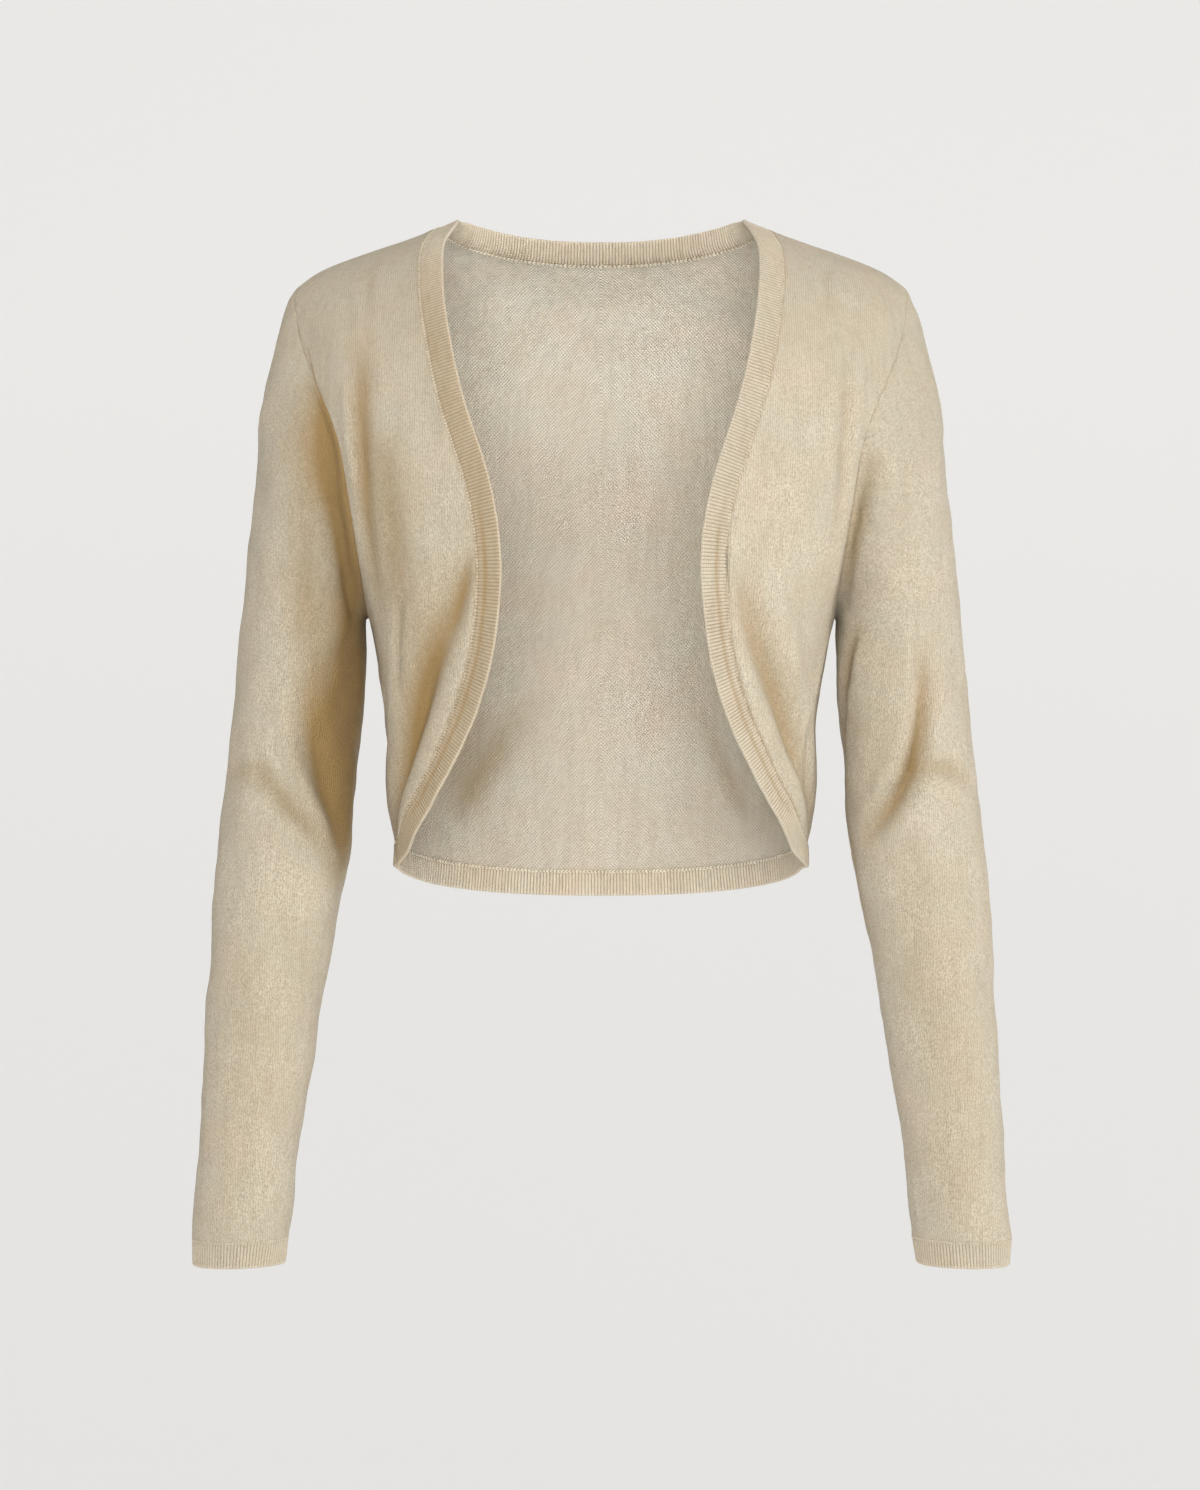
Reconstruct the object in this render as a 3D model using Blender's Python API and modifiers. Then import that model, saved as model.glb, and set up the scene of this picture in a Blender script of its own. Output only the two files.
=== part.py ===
"""Bolero cardigan in fine knit, hollow and filled out as worn, with nobody in it.

Metres, +Z up, the front faces -Y, and the wearer's left is +X. The origin is the middle of the neck,
level with the tops of the shoulders, where a wearer carries the garment. Each cut piece is one thin wall
of its own: the back, two fronts, two sleeves, two cuffs, one rib band round the fronts and neck, and one
rib band on the back hem. The pieces stand a small gap apart where they are sewn together.
"""

import math

import bpy
import numpy as np

# Driving sizes.
WALL = 0.0012  # fine jersey
RIB_WALL = 0.0022  # the rib bands are knitted double
SEAM_GAP = 0.0005
BAND_WIDTH = 0.0150
SHOULDER_X, SHOULDER_Z = 0.186, -0.042  # where the shoulder seam meets the sleeve
UNDERARM_Z = -0.241
NECK_X = 0.100  # where the shoulder seam meets the neck band
SIDE_HEM_Z = -0.3785  # foot of the side seam, above the hem band
BACK_HEM_DROP = 0.020  # the hem is this much lower at the centre back
SHOULDER_ROUND = 0.100  # height over which the cloth turns over the shoulder
NECK_HOLLOW_X, NECK_HOLLOW_WIDTH, NECK_HOLLOW_HEIGHT = 0.094, 0.028, 0.025  # beside the neck, behind
NECK_HOLLOW = 0.5  # share of the depth that it takes away
BAND_UPRIGHT = 0.25  # how far the neck band leans inward behind the neck. 0 stands straight up
SQUARE = 2.4  # 2 makes elliptic level sections, and more makes them squarer

# How finely each piece is cut up.
ARMHOLE_STEPS = 12
SIDE_STEPS = 9
NECK_COLUMNS = 6  # of half the back, inside NECK_X
SHOULDER_COLUMNS = 9  # of a front, and of half the back outside NECK_X
SLEEVE_STEPS = 18
BAND_STATIONS = (0.0, 0.33, 1.0)  # across a band, from its seam to its free edge

# Level sections of the body. Depths run from the plane of the shoulder seams.
BODY_COLUMNS = ("level", "half_width", "front_depth", "back_depth")
BODY = (
    (0.000, 0.2120, 0.078, 0.080),
    (-0.050, 0.1965, 0.092, 0.090),
    (-0.100, 0.1825, 0.104, 0.098),
    (-0.150, 0.1690, 0.113, 0.101),
    (-0.200, 0.1540, 0.119, 0.099),
    (-0.241, 0.1410, 0.117, 0.094),
    (-0.280, 0.1337, 0.111, 0.087),
    (-0.322, 0.1289, 0.102, 0.080),
    (-0.353, 0.1296, 0.096, 0.077),
    (-0.379, 0.1250, 0.091, 0.074),
    (-0.415, 0.1240, 0.087, 0.073),
)

# Top line of the shoulders, seen from the front.
RIDGE_COLUMNS = ("x", "height")
RIDGE = (
    (0.087, -0.0010),
    (0.100, -0.0052),
    (0.117, -0.0115),
    (0.138, -0.0185),
    (0.158, -0.0257),
    (0.174, -0.0332),
    (0.186, -0.0420),
)

# Armhole seam, the same in front and behind.
ARMHOLE_COLUMNS = ("level", "x")
ARMHOLE = (
    (-0.042, 0.1860),
    (-0.063, 0.1835),
    (-0.084, 0.1780),
    (-0.105, 0.1695),
    (-0.130, 0.1590),
    (-0.165, 0.1515),
    (-0.205, 0.1455),
    (-0.241, 0.1410),
)

# Seam between a front and its band, from the shoulder down to the hem.
OPENING_COLUMNS = ("level", "x")
OPENING = (
    (-0.0052, 0.1000),
    (-0.0165, 0.1065),
    (-0.0300, 0.1085),
    (-0.0480, 0.1078),
    (-0.0860, 0.1022),
    (-0.1200, 0.0942),
    (-0.1500, 0.0845),
    (-0.1800, 0.0762),
    (-0.2060, 0.0726),
    (-0.2310, 0.0726),
    (-0.2600, 0.0755),
    (-0.2860, 0.0820),
    (-0.3140, 0.0930),
    (-0.3420, 0.1062),
    (-0.3620, 0.1165),
    (-0.3785, 0.1240),
)

# Seam between the back and the neck band.
BACK_NECK_COLUMNS = ("x", "height")
BACK_NECK = (
    (0.000, -0.0207),
    (0.018, -0.0205),
    (0.036, -0.0193),
    (0.054, -0.0174),
    (0.070, -0.0149),
    (0.085, -0.0115),
    (0.094, -0.0083),
    (0.100, -0.0052),
)

# The sleeve's outer and inner outlines from the front, half its depth, and how far it swings back.
SLEEVE_COLUMNS = ("outer_x", "outer_z", "inner_x", "inner_z", "half_depth", "swing")
SLEEVE = (
    (0.1860, -0.0420, 0.1410, -0.2410, 0.0560, 0.000),
    (0.1945, -0.0640, 0.1432, -0.2418, 0.0565, 0.000),
    (0.2025, -0.0950, 0.1442, -0.2450, 0.0560, 0.001),
    (0.2080, -0.1330, 0.1440, -0.2520, 0.0545, 0.002),
    (0.2122, -0.1750, 0.1440, -0.2640, 0.0525, 0.004),
    (0.2170, -0.2200, 0.1446, -0.2800, 0.0505, 0.006),
    (0.2217, -0.2660, 0.1462, -0.3020, 0.0490, 0.008),
    (0.2260, -0.3090, 0.1488, -0.3300, 0.0480, 0.010),
    (0.2312, -0.3530, 0.1514, -0.3600, 0.0475, 0.010),
    (0.2350, -0.3930, 0.1550, -0.3930, 0.0460, 0.008),
    (0.2376, -0.4330, 0.1625, -0.4310, 0.0430, 0.004),
    (0.2400, -0.4800, 0.1709, -0.4770, 0.0390, 0.000),
    (0.2425, -0.5300, 0.1784, -0.5265, 0.0350, -0.004),
    (0.2455, -0.5800, 0.1850, -0.5765, 0.0315, -0.007),
    (0.2478, -0.6195, 0.1901, -0.6180, 0.0290, -0.009),
)
CUFF_END = (0.2476, -0.6348, 0.1922, -0.6335, 0.0280, -0.010)
CAP_ROWS = 4.5  # rows of SLEEVE over which the armhole's outline fades into ovals

# Largest folds of the body. A trough has a negative depth, and a ridge a positive one.
BODY_FOLD_COLUMNS = ("facing", "x1", "z1", "x2", "z2", "depth", "half_width")
BODY_FOLDS = (
    (-1, -0.086, -0.222, -0.118, -0.325, -0.0060, 0.012),
    (-1, -0.076, -0.262, -0.104, -0.335, 0.0022, 0.008),
    (-1, -0.138, -0.125, -0.139, -0.195, -0.0030, 0.009),
    (-1, 0.084, -0.218, 0.117, -0.330, -0.0050, 0.013),
    (-1, 0.148, -0.118, 0.149, -0.175, -0.0025, 0.011),
    (1, -0.105, -0.150, -0.085, -0.330, -0.0030, 0.016),
    (1, 0.100, -0.160, 0.082, -0.340, -0.0030, 0.015),
)

# Largest folds of the sleeves. Angles run from 0 outside, by 90 in front and 180 inside, to 270 behind.
SLEEVE_FOLD_COLUMNS = ("side", "angle1", "z1", "angle2", "z2", "depth", "half_width")
SLEEVE_FOLDS = (
    (-1, 60.0, -0.290, 165.0, -0.372, -0.0050, 0.013),
    (-1, 30.0, -0.345, 95.0, -0.356, 0.0020, 0.012),
    (1, 110.0, -0.262, 165.0, -0.365, -0.0045, 0.013),
    (1, 40.0, -0.346, 105.0, -0.352, -0.0018, 0.009),
    (-1, 200.0, -0.330, 290.0, -0.300, -0.0030, 0.014),
    (1, 200.0, -0.345, 285.0, -0.305, -0.0030, 0.014),
)
ARM_RADIUS = 0.042  # turns a sleeve fold's angles into lengths

KNIT_COLOUR = (0.62, 0.53, 0.40, 1.0)
RIB_COLOUR = (0.60, 0.50, 0.37, 1.0)


def unit(vectors):
    """The vectors at length one."""
    return vectors / np.linalg.norm(vectors, axis=-1, keepdims=True)


def spline(knots, values):
    """A natural cubic spline through the knots, held level outside them."""
    order = np.argsort(knots)
    knots, values = np.asarray(knots, float)[order], np.asarray(values, float)[order]
    gaps, count = np.diff(knots), len(knots)
    slopes = np.diff(values) / gaps
    system, right = np.eye(count), np.zeros(count)
    for i in range(1, count - 1):
        system[i, i - 1 : i + 2] = gaps[i - 1], 2 * (gaps[i - 1] + gaps[i]), gaps[i]
        right[i] = 6 * (slopes[i] - slopes[i - 1])
    bends = np.linalg.solve(system, right)

    def at(place):
        place = np.clip(np.asarray(place, float), knots[0], knots[-1])
        i = np.clip(np.searchsorted(knots, place) - 1, 0, count - 2)
        past, left, gap = place - knots[i], knots[i + 1] - place, gaps[i]
        curved = (bends[i] * left**3 + bends[i + 1] * past**3) / (6 * gap)
        before = (values[i] / gap - bends[i] * gap / 6) * left
        return curved + before + (values[i + 1] / gap - bends[i + 1] * gap / 6) * past

    return at


def curves_of(rows):
    """One spline for each column after the first, as a function of the first column."""
    columns = list(zip(*rows))
    return [spline(columns[0], column) for column in columns[1:]]


half_width, front_depth, back_depth = curves_of(BODY)
(ridge_height,) = curves_of(RIDGE)
(armhole_x,) = curves_of(ARMHOLE)
(opening_x,) = curves_of(OPENING)
(back_neck_height,) = curves_of(BACK_NECK)
sleeve_curves = curves_of([(number, *row) for number, row in enumerate(SLEEVE)])


def body_surface(x, z, facing):
    """Points of the smooth body at x and z. facing is -1 in front and 1 behind."""
    depth = front_depth(z) if facing < 0 else back_depth(z)
    share = np.clip(1 - np.abs(x / half_width(z)) ** SQUARE, 0, 1) ** (1 / SQUARE)
    drop = np.clip(ridge_height(np.abs(x)) - z, 0, SHOULDER_ROUND)
    turned = np.sqrt(1 - (1 - drop / SHOULDER_ROUND) ** 2)
    if facing > 0:
        beside = np.exp(-(((np.abs(x) - NECK_HOLLOW_X) / NECK_HOLLOW_WIDTH) ** 2))
        turned = turned * (1 - NECK_HOLLOW * beside * np.exp(-drop / NECK_HOLLOW_HEIGHT))
    return np.stack([x, facing * depth * share * turned, z], axis=-1)


def spread_across(start, end, wide, shares):
    """x from start to end, spaced evenly round a level section that is 2 * wide across."""
    first, last = (math.asin(min(v / wide, 1) ** (SQUARE / 2)) for v in (start, end))
    return wide * np.sin(first + (last - first) * shares) ** (2 / SQUARE)


def armhole_levels():
    """Heights down the armhole, from the shoulder to the underarm, closer together at both ends."""
    turn = np.linspace(0, math.pi, ARMHOLE_STEPS + 1)
    return SHOULDER_Z + (UNDERARM_Z - SHOULDER_Z) * (1 - np.cos(turn)) / 2


def side_shares():
    """How far down the side seam each row under the arm runs, closer together near the hem."""
    return np.sin(np.linspace(0, math.pi / 2, SIDE_STEPS + 1))[1:]


def row_share(level):
    """How far up from the underarm to the shoulder the row through this level of the armhole runs."""
    return (level - UNDERARM_Z) / (float(ridge_height(armhole_x(level))) - UNDERARM_Z)


def front_grid():
    """The +X front as rows of points, from the shoulder down, each from the opening outward."""
    shares = np.linspace(0, 1, SHOULDER_COLUMNS + 1)
    rows = []
    for level in armhole_levels():
        share, inner = row_share(level), NECK_X
        for _ in range(60):  # settles where this row meets the opening
            inner = float(opening_x(UNDERARM_Z + (ridge_height(inner) - UNDERARM_Z) * share))
        x = spread_across(inner, float(armhole_x(level)), float(half_width(level)), shares)
        z = UNDERARM_Z + (ridge_height(x) - UNDERARM_Z) * share
        rows.append(body_surface(x, z, -1))
    for share in side_shares():
        level = UNDERARM_Z + (SIDE_HEM_Z - UNDERARM_Z) * share
        wide = float(half_width(level))
        x = spread_across(float(opening_x(level)), wide, wide, shares)
        rows.append(body_surface(x, np.full_like(x, level), -1))
    return np.array(rows)


def back_grid():
    """The back as rows of points, from the shoulders down, each from -X to +X."""
    top_wide = float(half_width(SHOULDER_Z))
    neck, end = (math.asin((x / top_wide) ** (SQUARE / 2)) for x in (NECK_X, SHOULDER_X))
    inside = neck / end * np.sin(np.linspace(0, math.pi / 2, NECK_COLUMNS + 1))
    half = np.concatenate([inside, np.linspace(neck / end, 1, SHOULDER_COLUMNS + 1)[1:]])
    rows = []
    for level in armhole_levels():
        x = spread_across(0, float(armhole_x(level)), float(half_width(level)), half)
        top = np.where(x < NECK_X - 1e-6, back_neck_height(x), ridge_height(x))
        rows.append(body_surface(x, UNDERARM_Z + (top - UNDERARM_Z) * row_share(level), 1))
    foot = SIDE_HEM_Z - BACK_HEM_DROP * np.cos(half * math.pi / 2)
    for share in side_shares():
        z = UNDERARM_Z + (foot - UNDERARM_Z) * share
        x = half_width(z) * np.sin(half * math.pi / 2) ** (2 / SQUARE)
        rows.append(body_surface(x, z, 1))
    grid = np.array(rows)
    return np.concatenate([grid[:, :0:-1] * (-1, 1, 1), grid], axis=1)


def away_from_line(points, start, end):
    """How far each flat point is from the line between start and end."""
    start, run = np.array(start), np.array(end) - start
    share = np.clip((points - start) @ run / (run @ run), 0, 1)
    return np.linalg.norm(points - start - share[..., None] * run, axis=-1)


def raised(grid, rise, centres, across):
    """The grid moved by rise along its normals, away from the centres."""
    normals = np.cross(np.gradient(grid, axis=0), across)
    normals /= np.maximum(np.linalg.norm(normals, axis=-1, keepdims=True), 1e-12)
    outward = np.sign((normals * (grid - centres)).sum(-1, keepdims=True))
    return grid + normals * outward * rise[..., None]


def fold_body(grid, facing):
    """A front or the back with its largest folds pressed in or raised. The seams stay where they are."""

    def flat(x, z):  # x becomes length round the body, so that folds keep their width at the sides
        wide = half_width(z)
        return np.stack([wide * np.arcsin(np.clip(x / wide, -1, 1)), z], axis=-1)

    places, rise = flat(grid[..., 0], grid[..., 2]), np.zeros(grid.shape[:2])
    for side, x1, z1, x2, z2, depth, width in BODY_FOLDS:
        if side == facing:
            away = away_from_line(places, flat(x1, np.array(z1)), flat(x2, np.array(z2)))
            rise += depth * np.exp(-((away / width) ** 2))
    rise[0], rise[:, -1] = 0, 0
    if facing > 0:
        rise[:, 0] = 0
    return raised(grid, rise, grid * (0, 0, 1), np.gradient(grid, axis=1))


def oval(row, angles):
    """A closed oval across the +X sleeve, for a row of SLEEVE."""
    outer_x, outer_z, inner_x, inner_z, half_depth, swing = row
    outer, inner = np.array([outer_x, 0, outer_z]), np.array([inner_x, 0, inner_z])
    middle, reach = (outer + inner) / 2 + (0, swing, 0), (outer - inner) / 2
    return middle + np.outer(np.cos(angles), reach) - np.outer(np.sin(angles), (0, half_depth, 0))


def sleeve_grid(armhole, side):
    """Rings down the +X sleeve, from the ring of points round its armhole. side picks the folds."""
    angles = np.linspace(0, 2 * math.pi, len(armhole), endpoint=False)
    from_oval = armhole - oval(SLEEVE[0], angles)
    rings = []
    for number in np.linspace(0, len(SLEEVE) - 1, SLEEVE_STEPS + 1):
        fade = max(0.0, 1 - number / CAP_ROWS)
        ring = oval([curve(number) for curve in sleeve_curves], angles)
        rings.append(ring + from_oval * fade**2 * (3 - 2 * fade))
    grid = np.array(rings)
    places = np.stack(np.broadcast_arrays(angles * ARM_RADIUS, grid[..., 2]), axis=-1)
    rise = np.zeros(grid.shape[:2])
    for fold_side, angle1, z1, angle2, z2, depth, width in SLEEVE_FOLDS:
        if fold_side == side:
            start, end = (math.radians(angle1) * ARM_RADIUS, z1), (math.radians(angle2) * ARM_RADIUS, z2)
            rise += depth * np.exp(-((away_from_line(places, start, end) / width) ** 2))
    across = np.roll(grid, -1, axis=1) - np.roll(grid, 1, axis=1)
    return raised(grid, rise, grid.mean(axis=1, keepdims=True), across)


def across_from(edge, inside):
    """Directions out over a piece's edge, square to the edge, from the next line of points inside."""
    steps = unit(np.diff(edge, axis=0))
    along = unit(np.concatenate([steps[:1], steps[1:] + steps[:-1], steps[-1:]]))
    out = edge - inside
    return unit(out - (out * along).sum(-1, keepdims=True) * along)


def band_grid(seam, across, lift):
    """A band that leaves its seam line along the across directions and turns towards lift."""
    rows, spot, travelled = [], seam, 0.0
    for share in BAND_STATIONS:
        heading = unit(across * (1 - share) + lift * share)
        spot = spot + heading * (share - travelled) * BAND_WIDTH
        travelled = share
        rows.append(spot)
    return np.array(rows)


class Seams:
    """Draws the edges of pieces apart at their seams, so that their walls keep clear of each other."""

    def __init__(self):
        self.moves = []

    def join(self, wall, piece_a, edge_a, inside_a, piece_b, edge_b, inside_b):
        """Joins edge_a of piece_a to edge_b of piece_b. The insides are the next lines of points in."""
        into_a = unit(piece_a[inside_a] - piece_a[edge_a])
        into_b = unit(piece_b[inside_b] - piece_b[edge_b])
        half_angle = np.arccos(np.clip((into_a * into_b).sum(-1, keepdims=True), -1, 1)) / 2
        back = SEAM_GAP / 2 + wall / 2 / np.tan(np.clip(half_angle, 0.35, None))
        self.moves.append((piece_a, edge_a, into_a * back))
        self.moves.append((piece_b, edge_b, into_b * back))

    def open(self):
        """Moves every edge, once all the seams are known."""
        for piece, edge, move in self.moves:
            piece[edge] += move


def knit_material(name, colour):
    """A plain matt knit colour."""
    material = bpy.data.materials.new(name)
    material.use_nodes = True
    shader = material.node_tree.nodes["Principled BSDF"]
    shader.inputs["Base Color"].default_value = colour
    shader.inputs["Roughness"].default_value = 0.85
    shader.inputs["Metallic"].default_value = 0.0
    return material


def wall_object(name, grid, wall, material, tube=False):
    """An open surface through the grid, thickened to both sides of it."""
    numbers = np.arange(grid.shape[0] * grid.shape[1]).reshape(grid.shape[:2])
    if tube:
        numbers = np.concatenate([numbers, numbers[:, :1]], axis=1)
    corners = numbers[:-1, :-1], numbers[:-1, 1:], numbers[1:, 1:], numbers[1:, :-1]
    mesh = bpy.data.meshes.new(name)
    mesh.from_pydata(grid.reshape(-1, 3).tolist(), [], np.stack(corners, axis=-1).reshape(-1, 4).tolist())
    mesh.materials.append(material)
    mesh.shade_smooth()
    thing = bpy.data.objects.new(name, mesh)
    thick = thing.modifiers.new("wall", "SOLIDIFY")
    thick.thickness, thick.offset = wall, 0.0
    return thing


def main():
    for thing in list(bpy.data.objects):
        bpy.data.objects.remove(thing)
    garment = bpy.data.collections.new("bolero_cardigan")
    bpy.context.scene.collection.children.link(garment)
    jersey, rib = knit_material("fine_jersey", KNIT_COLOUR), knit_material("rib", RIB_COLOUR)

    # Rows down the armhole and down the side seam, and the way round an armhole's ring.
    arm = np.arange(ARMHOLE_STEPS + 1)
    below = np.arange(ARMHOLE_STEPS, ARMHOLE_STEPS + SIDE_STEPS + 1)
    ring = np.arange(2 * ARMHOLE_STEPS)
    behind = np.r_[0, ring[: ARMHOLE_STEPS - 1 : -1]]
    # Columns of the back along its two shoulders and its neck.
    last = 2 * (NECK_COLUMNS + SHOULDER_COLUMNS)
    shoulders = {1: np.arange(last - SHOULDER_COLUMNS, last + 1), -1: np.arange(SHOULDER_COLUMNS, -1, -1)}
    neck = np.arange(SHOULDER_COLUMNS, last - SHOULDER_COLUMNS + 1)
    # A front's edge down the opening and along its short hem, and the points inside that edge.
    edge_rows = np.r_[np.arange(below[-1] + 1), np.full(SHOULDER_COLUMNS, below[-1])]
    edge_columns = np.r_[np.zeros(below[-1] + 1, int), np.arange(1, SHOULDER_COLUMNS + 1)]
    edge = edge_rows, edge_columns
    inside = np.minimum(edge_rows, below[-2]), np.maximum(edge_columns, 1)

    back = fold_body(back_grid(), 1)
    fronts = {side: fold_body(front_grid() * (side, 1, 1), -1) for side in (1, -1)}
    pieces = [("back", back, WALL, jersey)]
    seams = Seams()
    for side, name in ((1, "left"), (-1, "right")):
        front, outer = fronts[side], (last if side > 0 else 0)
        inner, shoulder = outer - side, shoulders[side]
        armhole = np.concatenate([front[arm, -1], back[arm[-2:0:-1], outer]])
        sleeve = sleeve_grid(armhole * (side, 1, 1), side) * (side, 1, 1)
        end = oval(CUFF_END, ring / len(ring) * 2 * math.pi) * (side, 1, 1)
        cuff = np.array([sleeve[-1], (sleeve[-1] + end) / 2, end])
        seams.join(WALL, front, (below, -1), (below, -2), back, (below, outer), (below, inner))
        seams.join(WALL, front, (0,), (1,), back, (0, shoulder), (1, shoulder))
        seams.join(WALL, front, (arm, -1), (arm, -2), sleeve, (0, arm), (1, arm))
        seams.join(WALL, back, (arm, outer), (arm, inner), sleeve, (0, behind), (1, behind))
        seams.join(RIB_WALL, sleeve, (-1,), (-2,), cuff, (0,), (1,))
        pieces.append((f"front_{name}", front, WALL, jersey))
        pieces.append((f"sleeve_{name}", sleeve, WALL, jersey, True))
        pieces.append((f"cuff_{name}", cuff, RIB_WALL, rib, True))

    # The hem band, and the front and neck band from one side seam's foot round to the other's.
    hem_across = across_from(back[-1], back[-2])
    hem_across[0], hem_across[-1] = unit(back[-1, 0] - back[-2, 0]), unit(back[-1, -1] - back[-2, -1])
    hem = band_grid(back[-1], hem_across, hem_across)
    line = np.concatenate([fronts[-1][edge][::-1], back[0, neck[1:-1]], fronts[1][edge]])
    next_in = np.concatenate([fronts[-1][inside][::-1], back[1, neck[1:-1]], fronts[1][inside]])
    across = across_from(line, next_in)
    across[0], across[-1] = hem_across[0], hem_across[-1]
    behind_neck = np.clip(line[:, 1:2] / 0.03, 0, 1)
    upright = unit(across * BAND_UPRIGHT + np.array([0, 0, 1]))
    band = band_grid(line, across, unit(across * (1 - behind_neck) + upright * behind_neck))
    count = len(edge_rows)
    for side, stations in ((-1, np.arange(count)[::-1]), (1, np.arange(count) + len(line) - count)):
        seams.join(RIB_WALL, fronts[side], edge, inside, band, (0, stations), (1, stations))
    stations = np.arange(count - 1, len(line) - count + 1)
    seams.join(RIB_WALL, back, (0, neck), (1, neck), band, (0, stations), (1, stations))
    seams.join(RIB_WALL, back, (-1,), (-2,), hem, (0,), (1,))
    every = np.arange(len(BAND_STATIONS))
    for place, inner in ((0, 1), (-1, -2)):
        seams.join(RIB_WALL, band, (every, place), (every, inner), hem, (every, place), (every, inner))
    pieces.append(("front_neck_band", band, RIB_WALL, rib))
    pieces.append(("hem_band", hem, RIB_WALL, rib))

    seams.open()
    for piece in pieces:
        garment.objects.link(wall_object(*piece))


main()
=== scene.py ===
"""Fine-knit bolero cardigan, hollow and filled out as worn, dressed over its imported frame.

Metres, +Z up, the front faces -Y and the wearer's left is +X. The jersey panels, sleeves and rib bands are
thin shells on the frame's own forms, with their creases placed one by one. Ribs and linking stitches come
from Geometry Nodes, and the finer knit from node groups that read each piece's lengths of cloth.
"""

import logging
import math
from dataclasses import dataclass, field, replace
from enum import Enum
from typing import Any, Callable, Sequence

import bpy
import numpy as np
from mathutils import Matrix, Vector


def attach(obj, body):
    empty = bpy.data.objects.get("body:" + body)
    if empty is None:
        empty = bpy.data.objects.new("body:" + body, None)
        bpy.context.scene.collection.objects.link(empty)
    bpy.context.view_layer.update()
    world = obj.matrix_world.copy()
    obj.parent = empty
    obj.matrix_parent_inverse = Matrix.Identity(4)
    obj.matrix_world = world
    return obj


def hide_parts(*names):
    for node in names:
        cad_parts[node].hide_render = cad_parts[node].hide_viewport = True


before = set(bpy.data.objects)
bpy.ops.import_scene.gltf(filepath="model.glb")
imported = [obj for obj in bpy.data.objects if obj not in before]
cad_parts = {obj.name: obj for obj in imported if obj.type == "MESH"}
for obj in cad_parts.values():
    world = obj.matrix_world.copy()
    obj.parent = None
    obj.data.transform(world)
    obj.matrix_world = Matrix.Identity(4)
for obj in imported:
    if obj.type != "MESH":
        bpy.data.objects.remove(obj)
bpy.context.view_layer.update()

LOG = logging.getLogger("cardigan")
Array = np.ndarray
Row = tuple[float, ...]
Colour = tuple[float, float, float, float]

RIB_PITCH = 0.0020  # one rib and the furrow beside it
RIB_COLUMNS = 6  # lines of points in one pitch
RIB_STITCH = 0.0014  # one stitch along a rib
INSIDE_SHIFT = 0.5  # how far the inside's ribs stand from the outside's, in pitches
RIB_ROUNDNESS = 0.65  # the power of a sine that makes the ribs' section
BAND_WIDTH = 0.0150
JERSEY_WALL = 0.0012
RIB_WALL = 0.0022
SEWN_REACH = 0.012  # how far in from a sewn edge the creases fade in
FINE_STEPS = 4  # how many steps a fine start or end reaches over
OUT_STEPS = 8  # how many steps in from an edge the way out over it is read
SETTLE_ROUNDS = 60  # rounds in which each row's end settles on the opening
CREASE_PARTS = 20  # straight parts that a crease's line is followed in
BANK_PLACE = 2.1  # where the cloth beside a crease comes up, in widths from its line
SHADE_FROM = 0.0008  # depth from which a crease's colour takes painted shade
SHADE_OVER = 0.0110  # depth over which that painted shade comes to full strength


class Half(Enum):
    """The wearer's left or right half, as the sign of x."""

    LEFT = 1
    RIGHT = -1


class Facing(Enum):
    """The front or the back of the body, as the sign of y."""

    FRONT = -1
    BEHIND = 1


class Knit(Enum):
    """Which side of the jersey shows."""

    FACE = "face"
    REVERSE = "reverse"


# ---------------------------------------------------------------- lengths, curves and creases


def unit(vectors: Array) -> Array:
    """Returns the vectors at length one."""
    return vectors / np.maximum(np.linalg.norm(vectors, axis=-1, keepdims=True), 1e-12)


def smooth_step(value: Array) -> Array:
    """Returns 0 below 0 and 1 above 1, with a smooth rise between."""
    value = np.clip(value, 0, 1)
    return value * value * (3 - 2 * value)


def lengths_along(points: Array, axis: int = 0) -> Array:
    """Measures how far along a line of points each point is.

    Args:
        points: Points in their last axis, in lines along axis.
        axis: The axis that the lines run along.

    Returns:
        The distance of every point from the first point of its line.
    """
    axis = axis % points.ndim
    steps = np.linalg.norm(np.diff(points, axis=axis), axis=-1)
    start = np.zeros_like(np.take(steps, [0], axis=axis))
    return np.concatenate([start, np.cumsum(steps, axis=axis)], axis=axis)


def spaced(count: int, fine_start: float = 0.0, fine_end: float = 0.0) -> Array:
    """Shares from 0 to 1, closer together where a seam needs it.

    Args:
        count: How many steps there are.
        fine_start: How much shorter the first steps are, from 0 to below 1.
        fine_end: How much shorter the last steps are.

    Returns:
        count + 1 rising shares.
    """
    number = np.arange(count)
    at_start, at_end = (np.exp(-((off / FINE_STEPS) ** 2)) for off in (number, count - 1 - number))
    steps = 1 - fine_start * at_start - fine_end * at_end
    shares = np.concatenate([[0.0], np.cumsum(steps)])
    return shares / shares[-1]


def at_places(values: Array, along: Array, places: Array) -> Array:
    """Points or directions read off a line.

    Args:
        values: One for each of the line's own points.
        along: How far along the line those are.
        places: How far along the wanted ones are.

    Returns:
        One point or direction for each place.
    """
    return np.stack([np.interp(places, along, column) for column in values.T], -1)


def ripples(points: Array, wavelength: float, seed: int, waves: int = 18) -> Array:
    """A smooth uneven field, the same on every run.

    Args:
        points: Where it is wanted, in metres, in the last axis.
        wavelength: The usual distance between its crests.
        seed: Picks the field.
        waves: How many plane waves are summed.

    Returns:
        Values round 0 with a spread of about 1.
    """
    dice = np.random.default_rng(seed)
    size = points.shape[-1]
    headings = unit(dice.normal(size=(waves, size)))
    numbers = headings * (2 * math.pi / (wavelength * dice.uniform(0.65, 1.6, (waves, 1))))
    phases = dice.uniform(0, 2 * math.pi, waves)
    return np.sin(points @ numbers.T + phases).sum(-1) * math.sqrt(2 / waves)


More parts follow.
